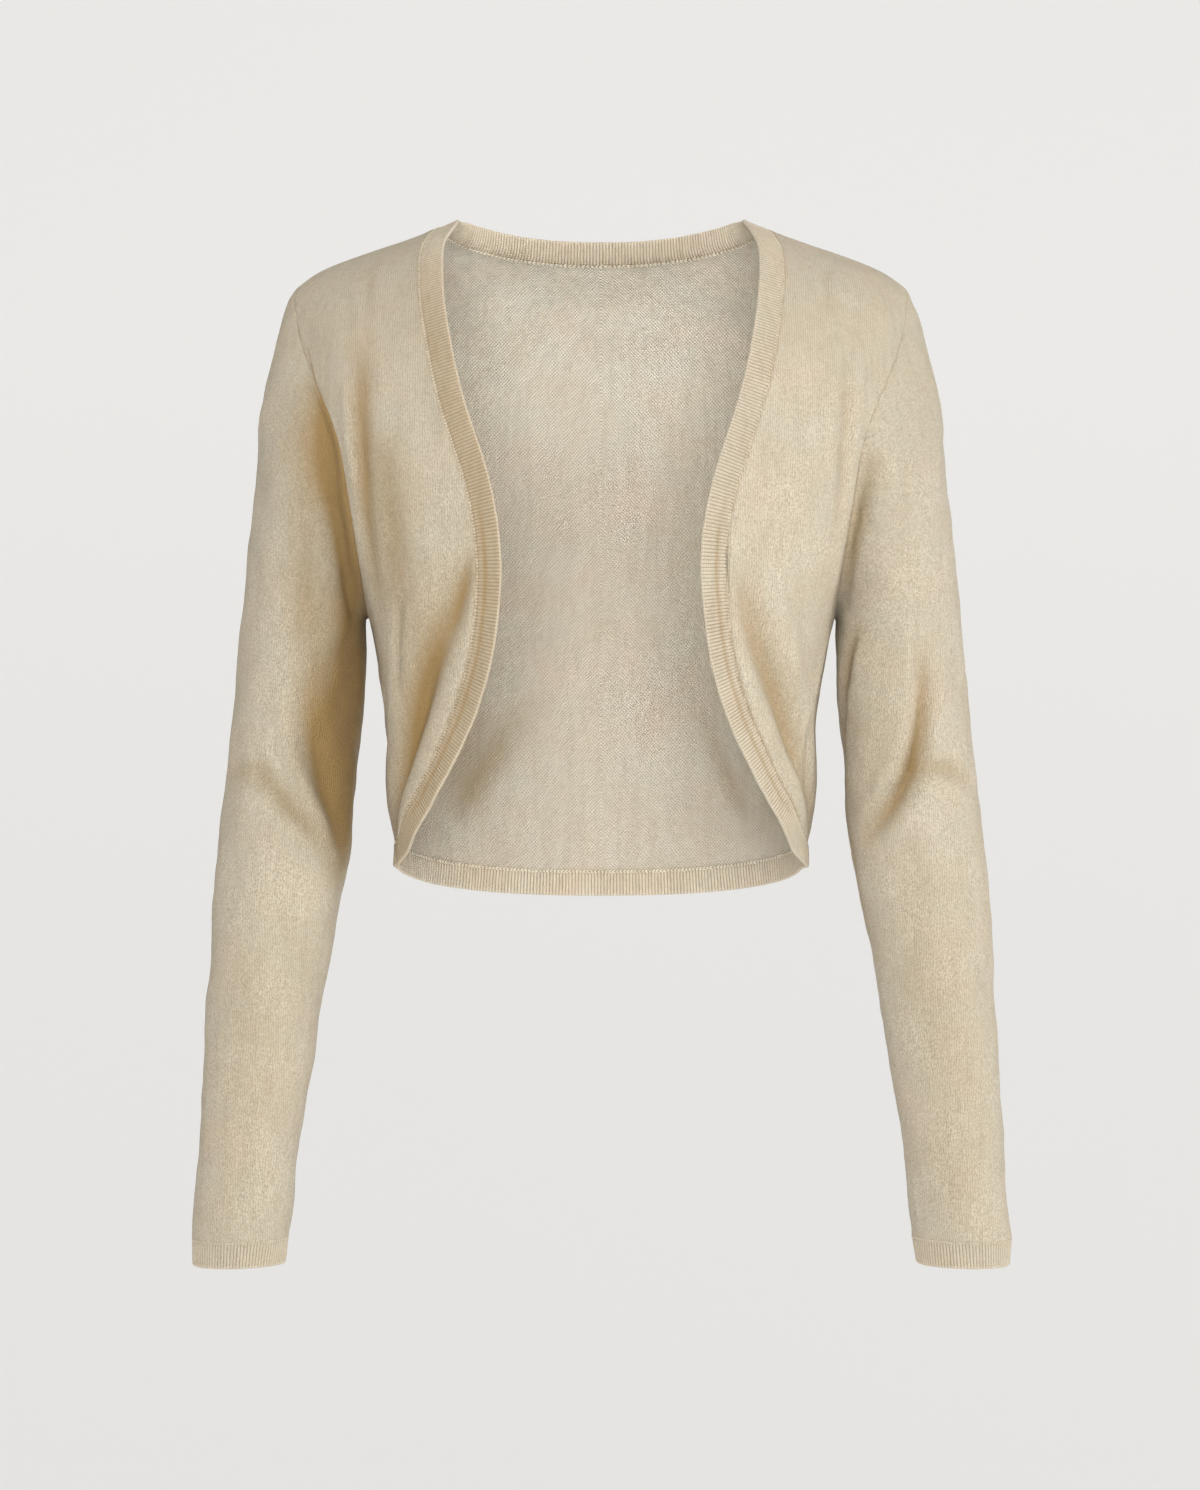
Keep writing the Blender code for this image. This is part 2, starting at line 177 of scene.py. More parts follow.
class Spline:
    """A natural cubic curve through a table's two columns, held level outside them."""

    def __init__(self, knots: Sequence[float], values: Sequence[float]) -> None:
        """Solves the curve.

        Args:
            knots: The first column.
            values: The second column.
        """
        order = np.argsort(knots)
        self.knots, self.values = np.asarray(knots, float)[order], np.asarray(values, float)[order]
        self.gaps, count = np.diff(self.knots), len(self.knots)
        slopes = np.diff(self.values) / self.gaps
        system, right = np.eye(count), np.zeros(count)
        for i in range(1, count - 1):
            system[i, i - 1 : i + 2] = self.gaps[i - 1], 2 * (self.gaps[i - 1] + self.gaps[i]), self.gaps[i]
            right[i] = 6 * (slopes[i] - slopes[i - 1])
        self.bends = np.linalg.solve(system, right)

    def __call__(self, place: Any) -> Array:
        """Reads the curve.

        Args:
            place: Places in the first column's terms.

        Returns:
            The curve's values there.
        """
        place = np.clip(np.asarray(place, float), self.knots[0], self.knots[-1])
        i = np.clip(np.searchsorted(self.knots, place) - 1, 0, len(self.knots) - 2)
        past, left, gap = place - self.knots[i], self.knots[i + 1] - place, self.gaps[i]
        curved = (self.bends[i] * left**3 + self.bends[i + 1] * past**3) / (6 * gap)
        before = (self.values[i] / gap - self.bends[i] * gap / 6) * left
        return curved + before + (self.values[i + 1] / gap - self.bends[i + 1] * gap / 6) * past


def curves_of(rows: Sequence[Row]) -> list[Spline]:
    """Returns one curve for each column after the first, over the first column."""
    columns = list(zip(*rows))
    return [Spline(columns[0], column) for column in columns[1:]]


@dataclass(frozen=True)
class Crease:
    """A soft trough or ridge that follows a curved line and fades out at both of its ends."""

    start: tuple[float, float]
    middle: tuple[float, float]
    end: tuple[float, float]
    depth: float  # below 0 for a trough
    width: float
    lean: float = 0.0  # from -1 to 1: which bank is wider
    peak: float = 0.5  # how far along the line it is deepest
    banks: float = 0.3  # how far the cloth beside it comes up, as a share of the depth
    shade: float | None = None  # how much painted shade its colour takes at its deepest, or None to follow its depth

    def laid(self, flatten: Callable[[float, float], tuple[float, float]]) -> "Crease":
        """Returns the same crease with its three places turned into lengths of cloth."""
        start, middle, end = (flatten(*place) for place in (self.start, self.middle, self.end))
        return replace(self, start=start, middle=middle, end=end)

    def rise(self, places: Array) -> tuple[Array, Array]:
        """How far the crease lifts or presses the cloth.

        Args:
            places: Flat places on the cloth, in metres.

        Returns:
            The lift at each place, and how much of the crease is there, from 0 to 1.
        """
        t = np.linspace(0, 1, CREASE_PARTS + 1)[:, None]
        start, middle, end = (np.array(p, float) for p in (self.start, self.middle, self.end))
        turn = 2 * middle - (start + end) / 2
        line = (1 - t) ** 2 * start + 2 * t * (1 - t) * turn + t**2 * end
        best = np.full(places.shape[:-1], np.inf)
        along, side = np.zeros_like(best), np.zeros_like(best)
        for number, (a, b) in enumerate(zip(line[:-1], line[1:])):
            run, off = b - a, places - a
            share = np.clip(off @ run / (run @ run), 0, 1)
            away = np.linalg.norm(off - share[..., None] * run, axis=-1)
            nearer = away < best
            best = np.where(nearer, away, best)
            along = np.where(nearer, (number + share) / CREASE_PARTS, along)
            side = np.where(nearer, np.sign(off[..., 0] * run[1] - off[..., 1] * run[0]), side)
        turned = np.clip(along, 1e-6, 1 - 1e-6) ** (math.log(0.5) / math.log(self.peak))
        fade = np.sin(math.pi * turned) ** 0.8
        reach = self.width * (1 + self.lean * side)
        near = np.exp(-((best / reach) ** 2))
        beside = np.exp(-(((best - BANK_PLACE * reach) / reach) ** 2))
        return self.depth * fade * (near - self.banks * beside), fade * near


def creases(*rows: Row) -> tuple[Crease, ...]:
    """Returns a crease for each row: its start, middle and end, then its other values in their order."""
    return tuple(Crease(row[0:2], row[2:4], row[4:6], *row[6:]) for row in rows)


def pressed(places: Array, laid: Sequence[Crease]) -> tuple[Array, Array, Array]:
    """Adds up creases.

    Args:
        places: Flat places on the cloth.
        laid: The creases there.

    Returns:
        The lift at each place, and the painted shade of the cloth's colour there, from 0 to 1, outside and
        inside.
    """
    lift, outside, inside = (np.zeros(places.shape[:-1]) for _ in range(3))
    for crease in laid:
        rise, share = crease.rise(places)
        lift += rise
        most = crease.shade
        if most is None:
            most = np.clip((abs(crease.depth) - SHADE_FROM) / SHADE_OVER, 0, 1)
        if crease.depth < 0:
            outside += share * most
        else:
            inside += share * most
    return lift, np.clip(outside, 0, 1), np.clip(inside, 0, 1)


# ---------------------------------------------------------------- the cloth's mid surfaces


@dataclass
class Folded:
    """A grid of cloth with its creases in it, and the painted shade they give its colour, outside and
    inside.
    """

    grid: Array
    outside: Array
    inside: Array


@dataclass
class BodyForm:
    """The worn form that the back, both fronts and the tops of the sleeves lie on."""

    shoulder_x: float = 0.186
    shoulder_z: float = -0.042
    underarm_z: float = -0.241
    neck_x: float = 0.100
    side_hem_z: float = -0.3785
    back_hem_drop: float = 0.020
    shoulder_round: float = 0.100
    neck_hollow: Row = (0.094, 0.028, 0.025, 0.5)  # x, half width, height and share of it beside the nape
    shoulder_depth: float = 0.085  # how far forward the shoulders' round goes, as the knit counts it
    # height, wavelength and seed of the cloth's slight unevenness
    unevenness: Sequence[Row] = ((0.00045, 0.055, 11), (0.00016, 0.017, 12))
    square: float = 2.4  # the power of the level sections' rounded outline, 2 for an oval
    armhole_steps: int = 80
    side_steps: int = 52
    neck_columns: int = 32
    shoulder_columns: int = 42
    # level, half width, depth in front, depth behind
    sections: Sequence[Row] = (
        (0.000, 0.2120, 0.078, 0.080),
        (-0.050, 0.1965, 0.092, 0.090),
        (-0.100, 0.1825, 0.104, 0.098),
        (-0.150, 0.1690, 0.113, 0.101),
        (-0.200, 0.1540, 0.119, 0.099),
        (-0.241, 0.1410, 0.117, 0.094),
        (-0.280, 0.1337, 0.111, 0.087),
        (-0.322, 0.1289, 0.102, 0.080),
        (-0.353, 0.1296, 0.096, 0.077),
        (-0.379, 0.1250, 0.091, 0.074),
        (-0.415, 0.1240, 0.087, 0.073),
    )
    # x, height of the shoulders' top line
    ridge: Sequence[Row] = (
        (0.087, -0.0010),
        (0.100, -0.0052),
        (0.117, -0.0115),
        (0.138, -0.0185),
        (0.158, -0.0257),
        (0.174, -0.0332),
        (0.186, -0.0420),
    )
    # level, x of the armhole seam
    armhole: Sequence[Row] = (
        (-0.042, 0.1860),
        (-0.063, 0.1835),
        (-0.084, 0.1780),
        (-0.105, 0.1695),
        (-0.130, 0.1590),
        (-0.165, 0.1515),
        (-0.205, 0.1455),
        (-0.241, 0.1410),
    )
    # level, x of the seam between a front and its band
    opening: Sequence[Row] = (
        (-0.0052, 0.1000),
        (-0.0165, 0.1065),
        (-0.0300, 0.1085),
        (-0.0480, 0.1078),
        (-0.0860, 0.1022),
        (-0.1200, 0.0942),
        (-0.1500, 0.0845),
        (-0.1800, 0.0762),
        (-0.2060, 0.0726),
        (-0.2310, 0.0726),
        (-0.2600, 0.0755),
        (-0.2860, 0.0820),
        (-0.3140, 0.0930),
        (-0.3420, 0.1062),
        (-0.3620, 0.1165),
        (-0.3785, 0.1240),
    )
    # x, height of the seam between the back and the neck band
    back_neck: Sequence[Row] = (
        (0.000, -0.0207),
        (0.018, -0.0205),
        (0.036, -0.0193),
        (0.054, -0.0174),
        (0.070, -0.0149),
        (0.085, -0.0115),
        (0.094, -0.0083),
        (0.100, -0.0052),
    )
    crinkles: Row = (0.146, -0.140, 0.012, 0.050)  # middle and reach of the small crinkles by the armholes
    crinkle: Row = (0.00022, 0.0060, 13)  # their height, wavelength and seed
    # Creases of the fronts and the back: x and level at the start, middle and end, depth, width and more.
    # Those of almost no depth are there for their painted shade.
    front_creases: Sequence[Crease] = creases(
        # -X front: the long fold from under the bust to the side, then those beside the armhole
        (-0.0715, -0.204, -0.108, -0.294, -0.1265, -0.388, -0.0084, 0.0112, 0.1, 0.55, 0.18, 0.9),
        (-0.0745, -0.204, -0.0815, -0.228, -0.09, -0.256, -0.0018, 0.005, 0, 0.5, 0.2, 0.5),
        (-0.1405, -0.076, -0.1414, -0.152, -0.1315, -0.252, -0.003, 0.0105, 0, 0.48, 0.1, 0.82),
        (-0.128, -0.13, -0.1235, -0.185, -0.119, -0.262, -0.001, 0.017, 0, 0.5, 0, 0.55),
        (-0.169, -0.098, -0.1625, -0.142, -0.153, -0.2, -0.003, 0.0056, 0, 0.6, 0.1, 0.95),
        (-0.1525, -0.102, -0.15, -0.138, -0.144, -0.192, 0.0012, 0.0055, 0, 0.5, 0),
        (-0.1765, -0.078, -0.1715, -0.098, -0.1655, -0.118, -0.0006, 0.001, 0, 0.5, 0, 1),
        (-0.14, -0.034, -0.1395, -0.048, -0.1382, -0.074, -0.0022, 0.0034, 0, 0.4),
        (-0.118, -0.226, -0.1205, -0.262, -0.1185, -0.3, -0.002, 0.005),
        (-0.129, -0.276, -0.128, -0.304, -0.13, -0.336, -0.0018, 0.0046, 0, 0.55),
        (-0.09, -0.2, -0.108, -0.27, -0.12, -0.36, -0.0003, 0.02, 0, 0.6, 0, 0.36),
        (-0.108, -0.105, -0.113, -0.16, -0.11, -0.225, 0.0012, 0.011, 0, 0.5, 0),
        (-0.101, -0.06, -0.104, -0.1, -0.099, -0.16, -0.0012, 0.008),
        # +X front
        (0.078, -0.212, 0.1035, -0.288, 0.1265, -0.37, -0.0078, 0.01, -0.15, 0.52, 0.2, 0.66),
        (0.0745, -0.19, 0.0742, -0.222, 0.0775, -0.262, -0.0011, 0.0014, 0, 0.5, 0.6),
        (0.145, -0.084, 0.1458, -0.138, 0.14, -0.198, -0.0032, 0.007, 0.1, 0.45, 0.35, 0.2),
        (0.133, -0.032, 0.1346, -0.047, 0.1338, -0.07, -0.002, 0.0036, 0, 0.4),
        (0.137, -0.246, 0.131, -0.275, 0.124, -0.305, 0.002, 0.0055, 0, 0.5, 0.1),
        (0.116, -0.11, 0.121, -0.16, 0.119, -0.22, 0.0012, 0.011, 0, 0.5, 0),
        (0.125, -0.296, 0.1245, -0.328, 0.1272, -0.36, -0.002, 0.0044),
        (0.104, -0.22, 0.112, -0.262, 0.1165, -0.31, 0.0012, 0.007, 0, 0.5, 0),
    )
    back_creases: Sequence[Crease] = creases(
        # two that show inside, low down beside the front edges, and painted shade beside the -X one
        (-0.044, -0.284, -0.064, -0.322, -0.09, -0.368, 0.0052, 0.0078, 0, 0.55, 0.25, 0.3),
        (-0.07, -0.29, -0.08, -0.325, -0.093, -0.368, 0.0003, 0.018, 0, 0.6, 0, 0.42),
        (0.06, -0.288, 0.076, -0.332, 0.093, -0.368, 0.003, 0.0066, 0, 0.55, 0.25, 0.3),
        (-0.118, -0.118, -0.106, -0.19, -0.086, -0.3, -0.0034, 0.013, 0.1, 0.45),
        (0.116, -0.124, 0.101, -0.205, 0.083, -0.318, -0.0032, 0.013, -0.1),
        (-0.106, -0.268, -0.104, -0.318, -0.108, -0.37, -0.0026, 0.008, 0, 0.6),
        (0.108, -0.276, 0.112, -0.33, 0.107, -0.372, -0.0024, 0.008, 0, 0.6),
        (-0.147, -0.106, -0.141, -0.15, -0.136, -0.205, -0.0024, 0.0075, 0, 0.4),
        (0.15, -0.1, 0.144, -0.148, 0.136, -0.198, -0.0026, 0.008, 0, 0.45),
        (-0.036, -0.25, -0.03, -0.3, -0.041, -0.352, -0.0012, 0.01, 0, 0.5, 0.2),
        (0.03, -0.232, 0.036, -0.29, 0.028, -0.34, -0.0011, 0.011, 0, 0.5, 0.2),
        (-0.14, -0.04, -0.138, -0.06, -0.132, -0.088, -0.0013, 0.005, 0, 0.4),
        (0.137, -0.04, 0.135, -0.058, 0.131, -0.082, -0.0012, 0.005, 0, 0.4),
        (-0.064, -0.058, -0.058, -0.1, -0.066, -0.15, 0.001, 0.013, 0, 0.5, 0),
        (0.06, -0.062, 0.064, -0.11, 0.057, -0.168, 0.0011, 0.014, 0, 0.5, 0),
        (-0.12, -0.3, -0.116, -0.33, -0.121, -0.366, -0.0016, 0.006),
        (0.118, -0.296, 0.122, -0.33, 0.117, -0.362, -0.0017, 0.006),
    )

    def __post_init__(self) -> None:
        """Fits the curves to the tables."""
        self.half_width, self.front_depth, self.back_depth = curves_of(self.sections)
        (self.ridge_height,) = curves_of(self.ridge)
        (self.armhole_x,) = curves_of(self.armhole)
        (self.opening_x,) = curves_of(self.opening)
        (self.back_neck_height,) = curves_of(self.back_neck)

    def surface(self, x: Array, z: Array, facing: Facing) -> Array:
        """Points of the smooth body.

        Args:
            x: Places across.
            z: Levels.
            facing: The front or the back.

        Returns:
            Points at x and z.
        """
        depth = self.front_depth(z) if facing is Facing.FRONT else self.back_depth(z)
        share = np.clip(1 - np.abs(x / self.half_width(z)) ** self.square, 0, 1) ** (1 / self.square)
        drop = np.clip(self.ridge_height(np.abs(x)) - z, 0, self.shoulder_round)
        turned = np.sqrt(1 - (1 - drop / self.shoulder_round) ** 2)
        if facing is Facing.BEHIND:
            place, width, height, hollow = self.neck_hollow
            beside = np.exp(-(((np.abs(x) - place) / width) ** 2))
            turned = turned * (1 - hollow * beside * np.exp(-drop / height))
        return np.stack([x, facing.value * depth * share * turned, z], axis=-1)

    def spread_across(self, start: Array, end: Array, wide: Array, shares: Array) -> Array:
        """x from start to end, evenly round a level section.

        Args:
            start: First x.
            end: Last x.
            wide: Half width of the section.
            shares: How far along each point is.

        Returns:
            One x for each share.
        """
        first, last = (np.arcsin(np.minimum(v / wide, 1) ** (self.square / 2)) for v in (start, end))
        return wide * np.sin(first + (last - first) * shares) ** (2 / self.square)

    def armhole_levels(self) -> tuple[Array, Array]:
        """Returns levels down the armhole, even along it, and how far along each one is, from 0 to 1."""
        turn = np.linspace(0, math.pi, 1501)
        level = self.shoulder_z + (self.underarm_z - self.shoulder_z) * (1 - np.cos(turn)) / 2
        paths = [lengths_along(self.surface(self.armhole_x(level), level, facing)) for facing in Facing]
        length = (paths[0] / paths[0][-1] + paths[1] / paths[1][-1]) / 2
        shares = spaced(self.armhole_steps, 0.75, 0.0)
        levels = np.interp(shares, length, level)
        levels[0], levels[-1] = self.shoulder_z, self.underarm_z
        return levels, shares

    def row_shares(self, levels: Array) -> Array:
        """Returns how far up from the underarm each row through the armhole runs."""
        return (levels - self.underarm_z) / (self.ridge_height(self.armhole_x(levels)) - self.underarm_z)

    def side_shares(self) -> Array:
        """Returns how far down the side seam each row under the arm runs."""
        return spaced(self.side_steps, 0.0, 0.8)[1:]

    def front_grid(self) -> Array:
        """Returns the +X front as rows of points, each from the opening outward."""
        levels, _ = self.armhole_levels()
        shares = spaced(self.shoulder_columns, 0.75, 0.75)
        row_share = self.row_shares(levels)
        inner = np.full(len(levels), self.neck_x)
        for _ in range(SETTLE_ROUNDS):
            tall = self.ridge_height(inner) - self.underarm_z
            inner = self.opening_x(self.underarm_z + tall * row_share)
        start, end, wide = (v[:, None] for v in (inner, self.armhole_x(levels), self.half_width(levels)))
        x = self.spread_across(start, end, wide, shares)
        z = self.underarm_z + (self.ridge_height(x) - self.underarm_z) * row_share[:, None]
        level = (self.underarm_z + (self.side_hem_z - self.underarm_z) * self.side_shares())[:, None]
        wide = self.half_width(level)
        below = self.spread_across(self.opening_x(level), wide, wide, shares)
        x = np.concatenate([x, below])
        z = np.concatenate([z, np.broadcast_to(level, below.shape)])
        return self.surface(x, z, Facing.FRONT)

    def back_grid(self) -> Array:
        """Returns the back as rows of points, each from -X to +X."""
        top_wide = float(self.half_width(self.shoulder_z))
        neck, end = (math.asin((x / top_wide) ** (self.square / 2)) for x in (self.neck_x, self.shoulder_x))
        inside = neck / end * np.sin(np.linspace(0, math.pi / 2, self.neck_columns + 1))
        outside = neck / end + (1 - neck / end) * spaced(self.shoulder_columns, 0.0, 0.75)
        half = np.concatenate([inside, outside[1:]])
        levels, _ = self.armhole_levels()
        row_share = self.row_shares(levels)[:, None]
        x = self.spread_across(0.0, self.armhole_x(levels)[:, None], self.half_width(levels)[:, None], half)
        top = np.where(x < self.neck_x - 1e-6, self.back_neck_height(x), self.ridge_height(x))
        z = self.underarm_z + (top - self.underarm_z) * row_share
        foot = self.side_hem_z - self.back_hem_drop * np.cos(half * math.pi / 2)
        z_below = self.underarm_z + (foot - self.underarm_z) * self.side_shares()[:, None]
        x_below = self.half_width(z_below) * np.sin(half * math.pi / 2) ** (2 / self.square)
        grid = self.surface(np.concatenate([x, x_below]), np.concatenate([z, z_below]), Facing.BEHIND)
        return np.concatenate([grid[:, :0:-1] * (-1, 1, 1), grid], axis=1)

    def knit_lengths(self, grid: Array, facing: Facing) -> Array:
        """Lengths of cloth from the middle and from the shoulders, which the knit follows.

        Args:
            grid: Points of the smooth body.
            facing: The front or the back.

        Returns:
            Lengths across and up, in metres, in the last axis.
        """
        x, z = np.abs(grid[..., 0]), grid[..., 2]
        wide = self.half_width(z)
        turn = np.arcsin(np.minimum(x / wide, 1) ** (self.square / 2))
        steps = np.linspace(0, 1, 41)
        line = wide[..., None] * np.sin(turn[..., None] * steps) ** (2 / self.square)
        path = self.surface(line, np.broadcast_to(z[..., None], line.shape), facing)
        across = lengths_along(path, axis=-2)[..., -1] * np.sign(grid[..., 0])
        fall = np.linspace(0, math.pi / 2, 91)
        turned = np.stack([self.shoulder_depth * np.sin(fall), self.shoulder_round * np.cos(fall)], axis=-1)
        over = lengths_along(turned)
        ridge = self.ridge_height(x)
        drop = np.maximum(ridge - z, 0)
        down = np.interp(drop, self.shoulder_round * (1 - np.cos(fall)), over)
        down = down + np.maximum(drop - self.shoulder_round, 0)
        return np.stack([across, ridge - down], axis=-1)

    def folded(self, grid: Array, facing: Facing, pressed_in: Sequence[Crease]) -> Folded:
        """The body's cloth with its creases and its slight unevenness.

        Args:
            grid: Points of the smooth body, a front or the back.
            facing: Which of them it is.
            pressed_in: The creases, at x and level.

        Returns:
            The grid with its cloth moved along its normals. Edges that are sewn stay where they are.
        """

        def flat(x: Array, z: Array) -> tuple[Array, Array]:
            """Returns lengths round the body and levels."""
            wide = self.half_width(z)
            return wide * np.arcsin(np.clip(x / wide, -1, 1)), z

        places = np.stack(flat(grid[..., 0], grid[..., 2]), axis=-1)
        rise, outside, inside = pressed(places, [crease.laid(flat) for crease in pressed_in])
        rise += sum(height * ripples(grid, *field) for height, *field in self.unevenness)
        if facing is Facing.FRONT:
            x, z, wide, tall = self.crinkles
            zone = np.exp(-(((np.abs(grid[..., 0]) - x) / wide) ** 2) - ((grid[..., 2] - z) / tall) ** 2)
            height, *field = self.crinkle
            rise += height * zone * ripples(grid * (0.6, 1, 1), *field)
        down, across = lengths_along(grid, axis=0), lengths_along(grid, axis=1)
        hold = smooth_step(down / SEWN_REACH) * smooth_step((across[:, -1:] - across) / SEWN_REACH)
        if facing is Facing.BEHIND:
            hold = hold * smooth_step(across / SEWN_REACH)
        normals = normals_of(grid, grid * (0, 0, 1))
        return Folded(grid + normals * (rise * hold)[..., None], outside, inside)


def normals_of(grid: Array, centres: Array, wrap: bool = False) -> Array:
    """Directions square to a grid of points, away from its centres.

    Args:
        grid: Rows of points.
        centres: Points inside the form, one for each point or row.
        wrap: True if each row closes on itself.

    Returns:
        One direction for each point.
    """
    if wrap:
        across = np.roll(grid, -1, axis=1) - np.roll(grid, 1, axis=1)
    else:
        across = np.gradient(grid, axis=1)
    normals = unit(np.cross(np.gradient(grid, axis=0), across))
    outward = np.sign((normals * (grid - centres)).sum(-1, keepdims=True))
    return normals * np.where(outward == 0, 1, outward)


@dataclass
class SleeveForm:
    """The worn form of a sleeve, which starts on the armhole's own outline."""

    steps: int = 196
    cap_rows: float = 4.5  # rows of the table over which the armhole's own shape fades out
    arm_radius: float = 0.042  # turns angles into lengths of cloth for the creases
    seeds: tuple[int, int] = (21, 31)  # of the right sleeve's unevenness and the left's
    unevenness: Sequence[Row] = ((0.00048, 0.050), (0.00015, 0.016))  # its heights and wavelengths
    armhole_reach: float = 0.008  # how far down from the armhole the creases fade in
    # outer x and level, inner x and level, half depth, swing towards the back
    rows: Sequence[Row] = (
        (0.1860, -0.0420, 0.1410, -0.2410, 0.0560, 0.000),
        (0.1945, -0.0640, 0.1432, -0.2418, 0.0565, 0.000),
        (0.2025, -0.0950, 0.1442, -0.2450, 0.0560, 0.001),
        (0.2080, -0.1330, 0.1440, -0.2520, 0.0545, 0.002),
        (0.2122, -0.1750, 0.1440, -0.2640, 0.0525, 0.004),
        (0.2170, -0.2200, 0.1446, -0.2800, 0.0505, 0.006),
        (0.2217, -0.2660, 0.1462, -0.3020, 0.0490, 0.008),
        (0.2260, -0.3090, 0.1488, -0.3300, 0.0480, 0.010),
        (0.2312, -0.3530, 0.1514, -0.3600, 0.0475, 0.010),
        (0.2350, -0.3930, 0.1550, -0.3930, 0.0460, 0.008),
        (0.2376, -0.4330, 0.1625, -0.4310, 0.0430, 0.004),
        (0.2400, -0.4800, 0.1709, -0.4770, 0.0390, 0.000),
        (0.2425, -0.5300, 0.1784, -0.5265, 0.0350, -0.004),
        (0.2455, -0.5800, 0.1860, -0.5765, 0.0315, -0.007),
        (0.2478, -0.6195, 0.1898, -0.6180, 0.0290, -0.009),
    )
    cuff_end: Row = (0.2476, -0.6348, 0.1922, -0.6335, 0.0280, -0.010)
    # Creases at angle and level. Angles run from 0 outside, by 90 in front and 180 inside, to 270 behind.
    # Those of almost no depth are there for their painted shade.
    right_creases: Sequence[Crease] = creases(
        # the hollow along the armhole, and on down the inside of the arm, much of it painted shade
        (60, -0.088, 102, -0.17, 164, -0.25, -0.0078, 0.0082, 0, 0.5, 0.15, 0.9),
        (64, -0.09, 107, -0.172, 160, -0.24, -0.0005, 0.006, 0, 0.42, 0, 0.75),
        (56, -0.09, 70, -0.13, 84, -0.18, -0.0004, 0.013, 0, 0.5, 0, 0.44),
        (132, -0.19, 158, -0.292, 170, -0.415, -0.003, 0.019, 0, 0.5, 0, 0.85),
        (116, -0.256, 131, -0.305, 150, -0.366, -0.003, 0.015, 0, 0.55, 0, 0.45),
        (144, -0.28, 152, -0.345, 162, -0.405, -0.0004, 0.014, 0, 0.55, 0, 0.8),
        (92, -0.2, 112, -0.29, 128, -0.36, -0.0006, 0.015, 0, 0.5, 0, 0.42),
        (120, -0.215, 140, -0.262, 150, -0.32, -0.0004, 0.012, 0, 0.5, 0, 0.45),
        (172, -0.19, 176, -0.25, 176, -0.32, -0.0003, 0.012, 0, 0.5, 0, 0.55),
        # the elbow: a ridge with a hollow on each side of it, and the forearm's rounded top
        (74, -0.284, 104, -0.34, 154, -0.392, 0.0042, 0.005, 0, 0.5, 0),
        (92, -0.27, 120, -0.328, 156, -0.382, -0.0046, 0.01, 0, 0.6, 0, 0.6),
        (60, -0.326, 91, -0.353, 140, -0.384, -0.004, 0.0062, 0, 0.5, 0.1, 0.5),
        (12, -0.338, 42, -0.335, 78, -0.342, -0.0032, 0.0076, 0, 0.5, 0.1, 0.3),
        (36, -0.354, 93, -0.362, 138, -0.388, 0.0028, 0.0075, 0, 0.45, 0),
        # rows of almost no depth add painted shade down the outer edge, on the upper arm and on the
        # forearm's front
        (2, -0.1, 4, -0.3, 8, -0.56, -0.0003, 0.011, 0, 0.5, 0, 0.12),
        (80, -0.13, 88, -0.205, 92, -0.262, -0.0008, 0.011, 0, 0.5, 0, 0.36),
        (48, -0.13, 53, -0.19, 60, -0.268, 0.0008, 0.01, 0, 0.5, 0),
        (84, -0.395, 86, -0.52, 88, -0.66, -0.0003, 0.028, 0, 0.55, 0, 0.15),
        (96, -0.42, 128, -0.446, 160, -0.47, -0.0016, 0.009),
        (200, -0.332, 240, -0.318, 290, -0.292, -0.0034, 0.012),
        (212, -0.362, 250, -0.352, 300, -0.33, -0.0026, 0.009),
        (228, -0.212, 236, -0.252, 262, -0.292, -0.002, 0.01),
        (30, -0.56, 70, -0.552, 120, -0.566, -0.0009, 0.007),
        (60, -0.592, 100, -0.586, 150, -0.598, -0.0008, 0.006),
        (230, -0.48, 270, -0.466, 310, -0.48, -0.0012, 0.009),
    )
    left_creases: Sequence[Crease] = creases(
        # the hollow along the armhole, and on down the inside of the arm, much of it painted shade, with
        # painted shade on the forearm too
        (80, -0.14, 122, -0.192, 154, -0.232, -0.0042, 0.0045, 0, 0.5, 0.1, 0.66),
        (60, -0.4, 90, -0.45, 120, -0.54, -0.0003, 0.024, 0, 0.4, 0, 0.14),
        (84, -0.44, 86, -0.54, 88, -0.67, -0.0003, 0.028, 0, 0.55, 0, 0.13),
        (132, -0.246, 157, -0.279, 178, -0.326, -0.0036, 0.005, 0, 0.5, 0.2, 0.55),
        (172, -0.3, 176, -0.37, 172, -0.45, -0.0006, 0.0065, 0, 0.5, 0, 0.48),
        # the elbow: one long curved trough, and the forearm's rounded top
        (74, -0.252, 92, -0.328, 150, -0.376, -0.007, 0.0058, 0.1, 0.55, 0.3, 0.9),
        (98, -0.337, 63, -0.333, 28, -0.344, -0.0034, 0.0055, 0, 0.5, 0.2, 0.4),
        (104, -0.352, 68, -0.346, 34, -0.358, 0.0024, 0.007, 0, 0.5, 0),
        (62, -0.11, 70, -0.15, 78, -0.21, 0.0014, 0.008, 0, 0.5, 0),
        (92, -0.43, 126, -0.452, 158, -0.474, -0.0015, 0.009),
        (200, -0.346, 242, -0.328, 286, -0.304, -0.0032, 0.012),
        (216, -0.374, 252, -0.362, 296, -0.34, -0.0024, 0.009),
        (226, -0.206, 238, -0.248, 264, -0.286, -0.0018, 0.01),
        (40, -0.552, 84, -0.56, 130, -0.55, -0.0009, 0.007),
        (226, -0.49, 268, -0.474, 306, -0.488, -0.0012, 0.009),
    )

    def __post_init__(self) -> None:
        """Fits the curves to the table."""
        self.curves = curves_of([(number, *row) for number, row in enumerate(self.rows)])

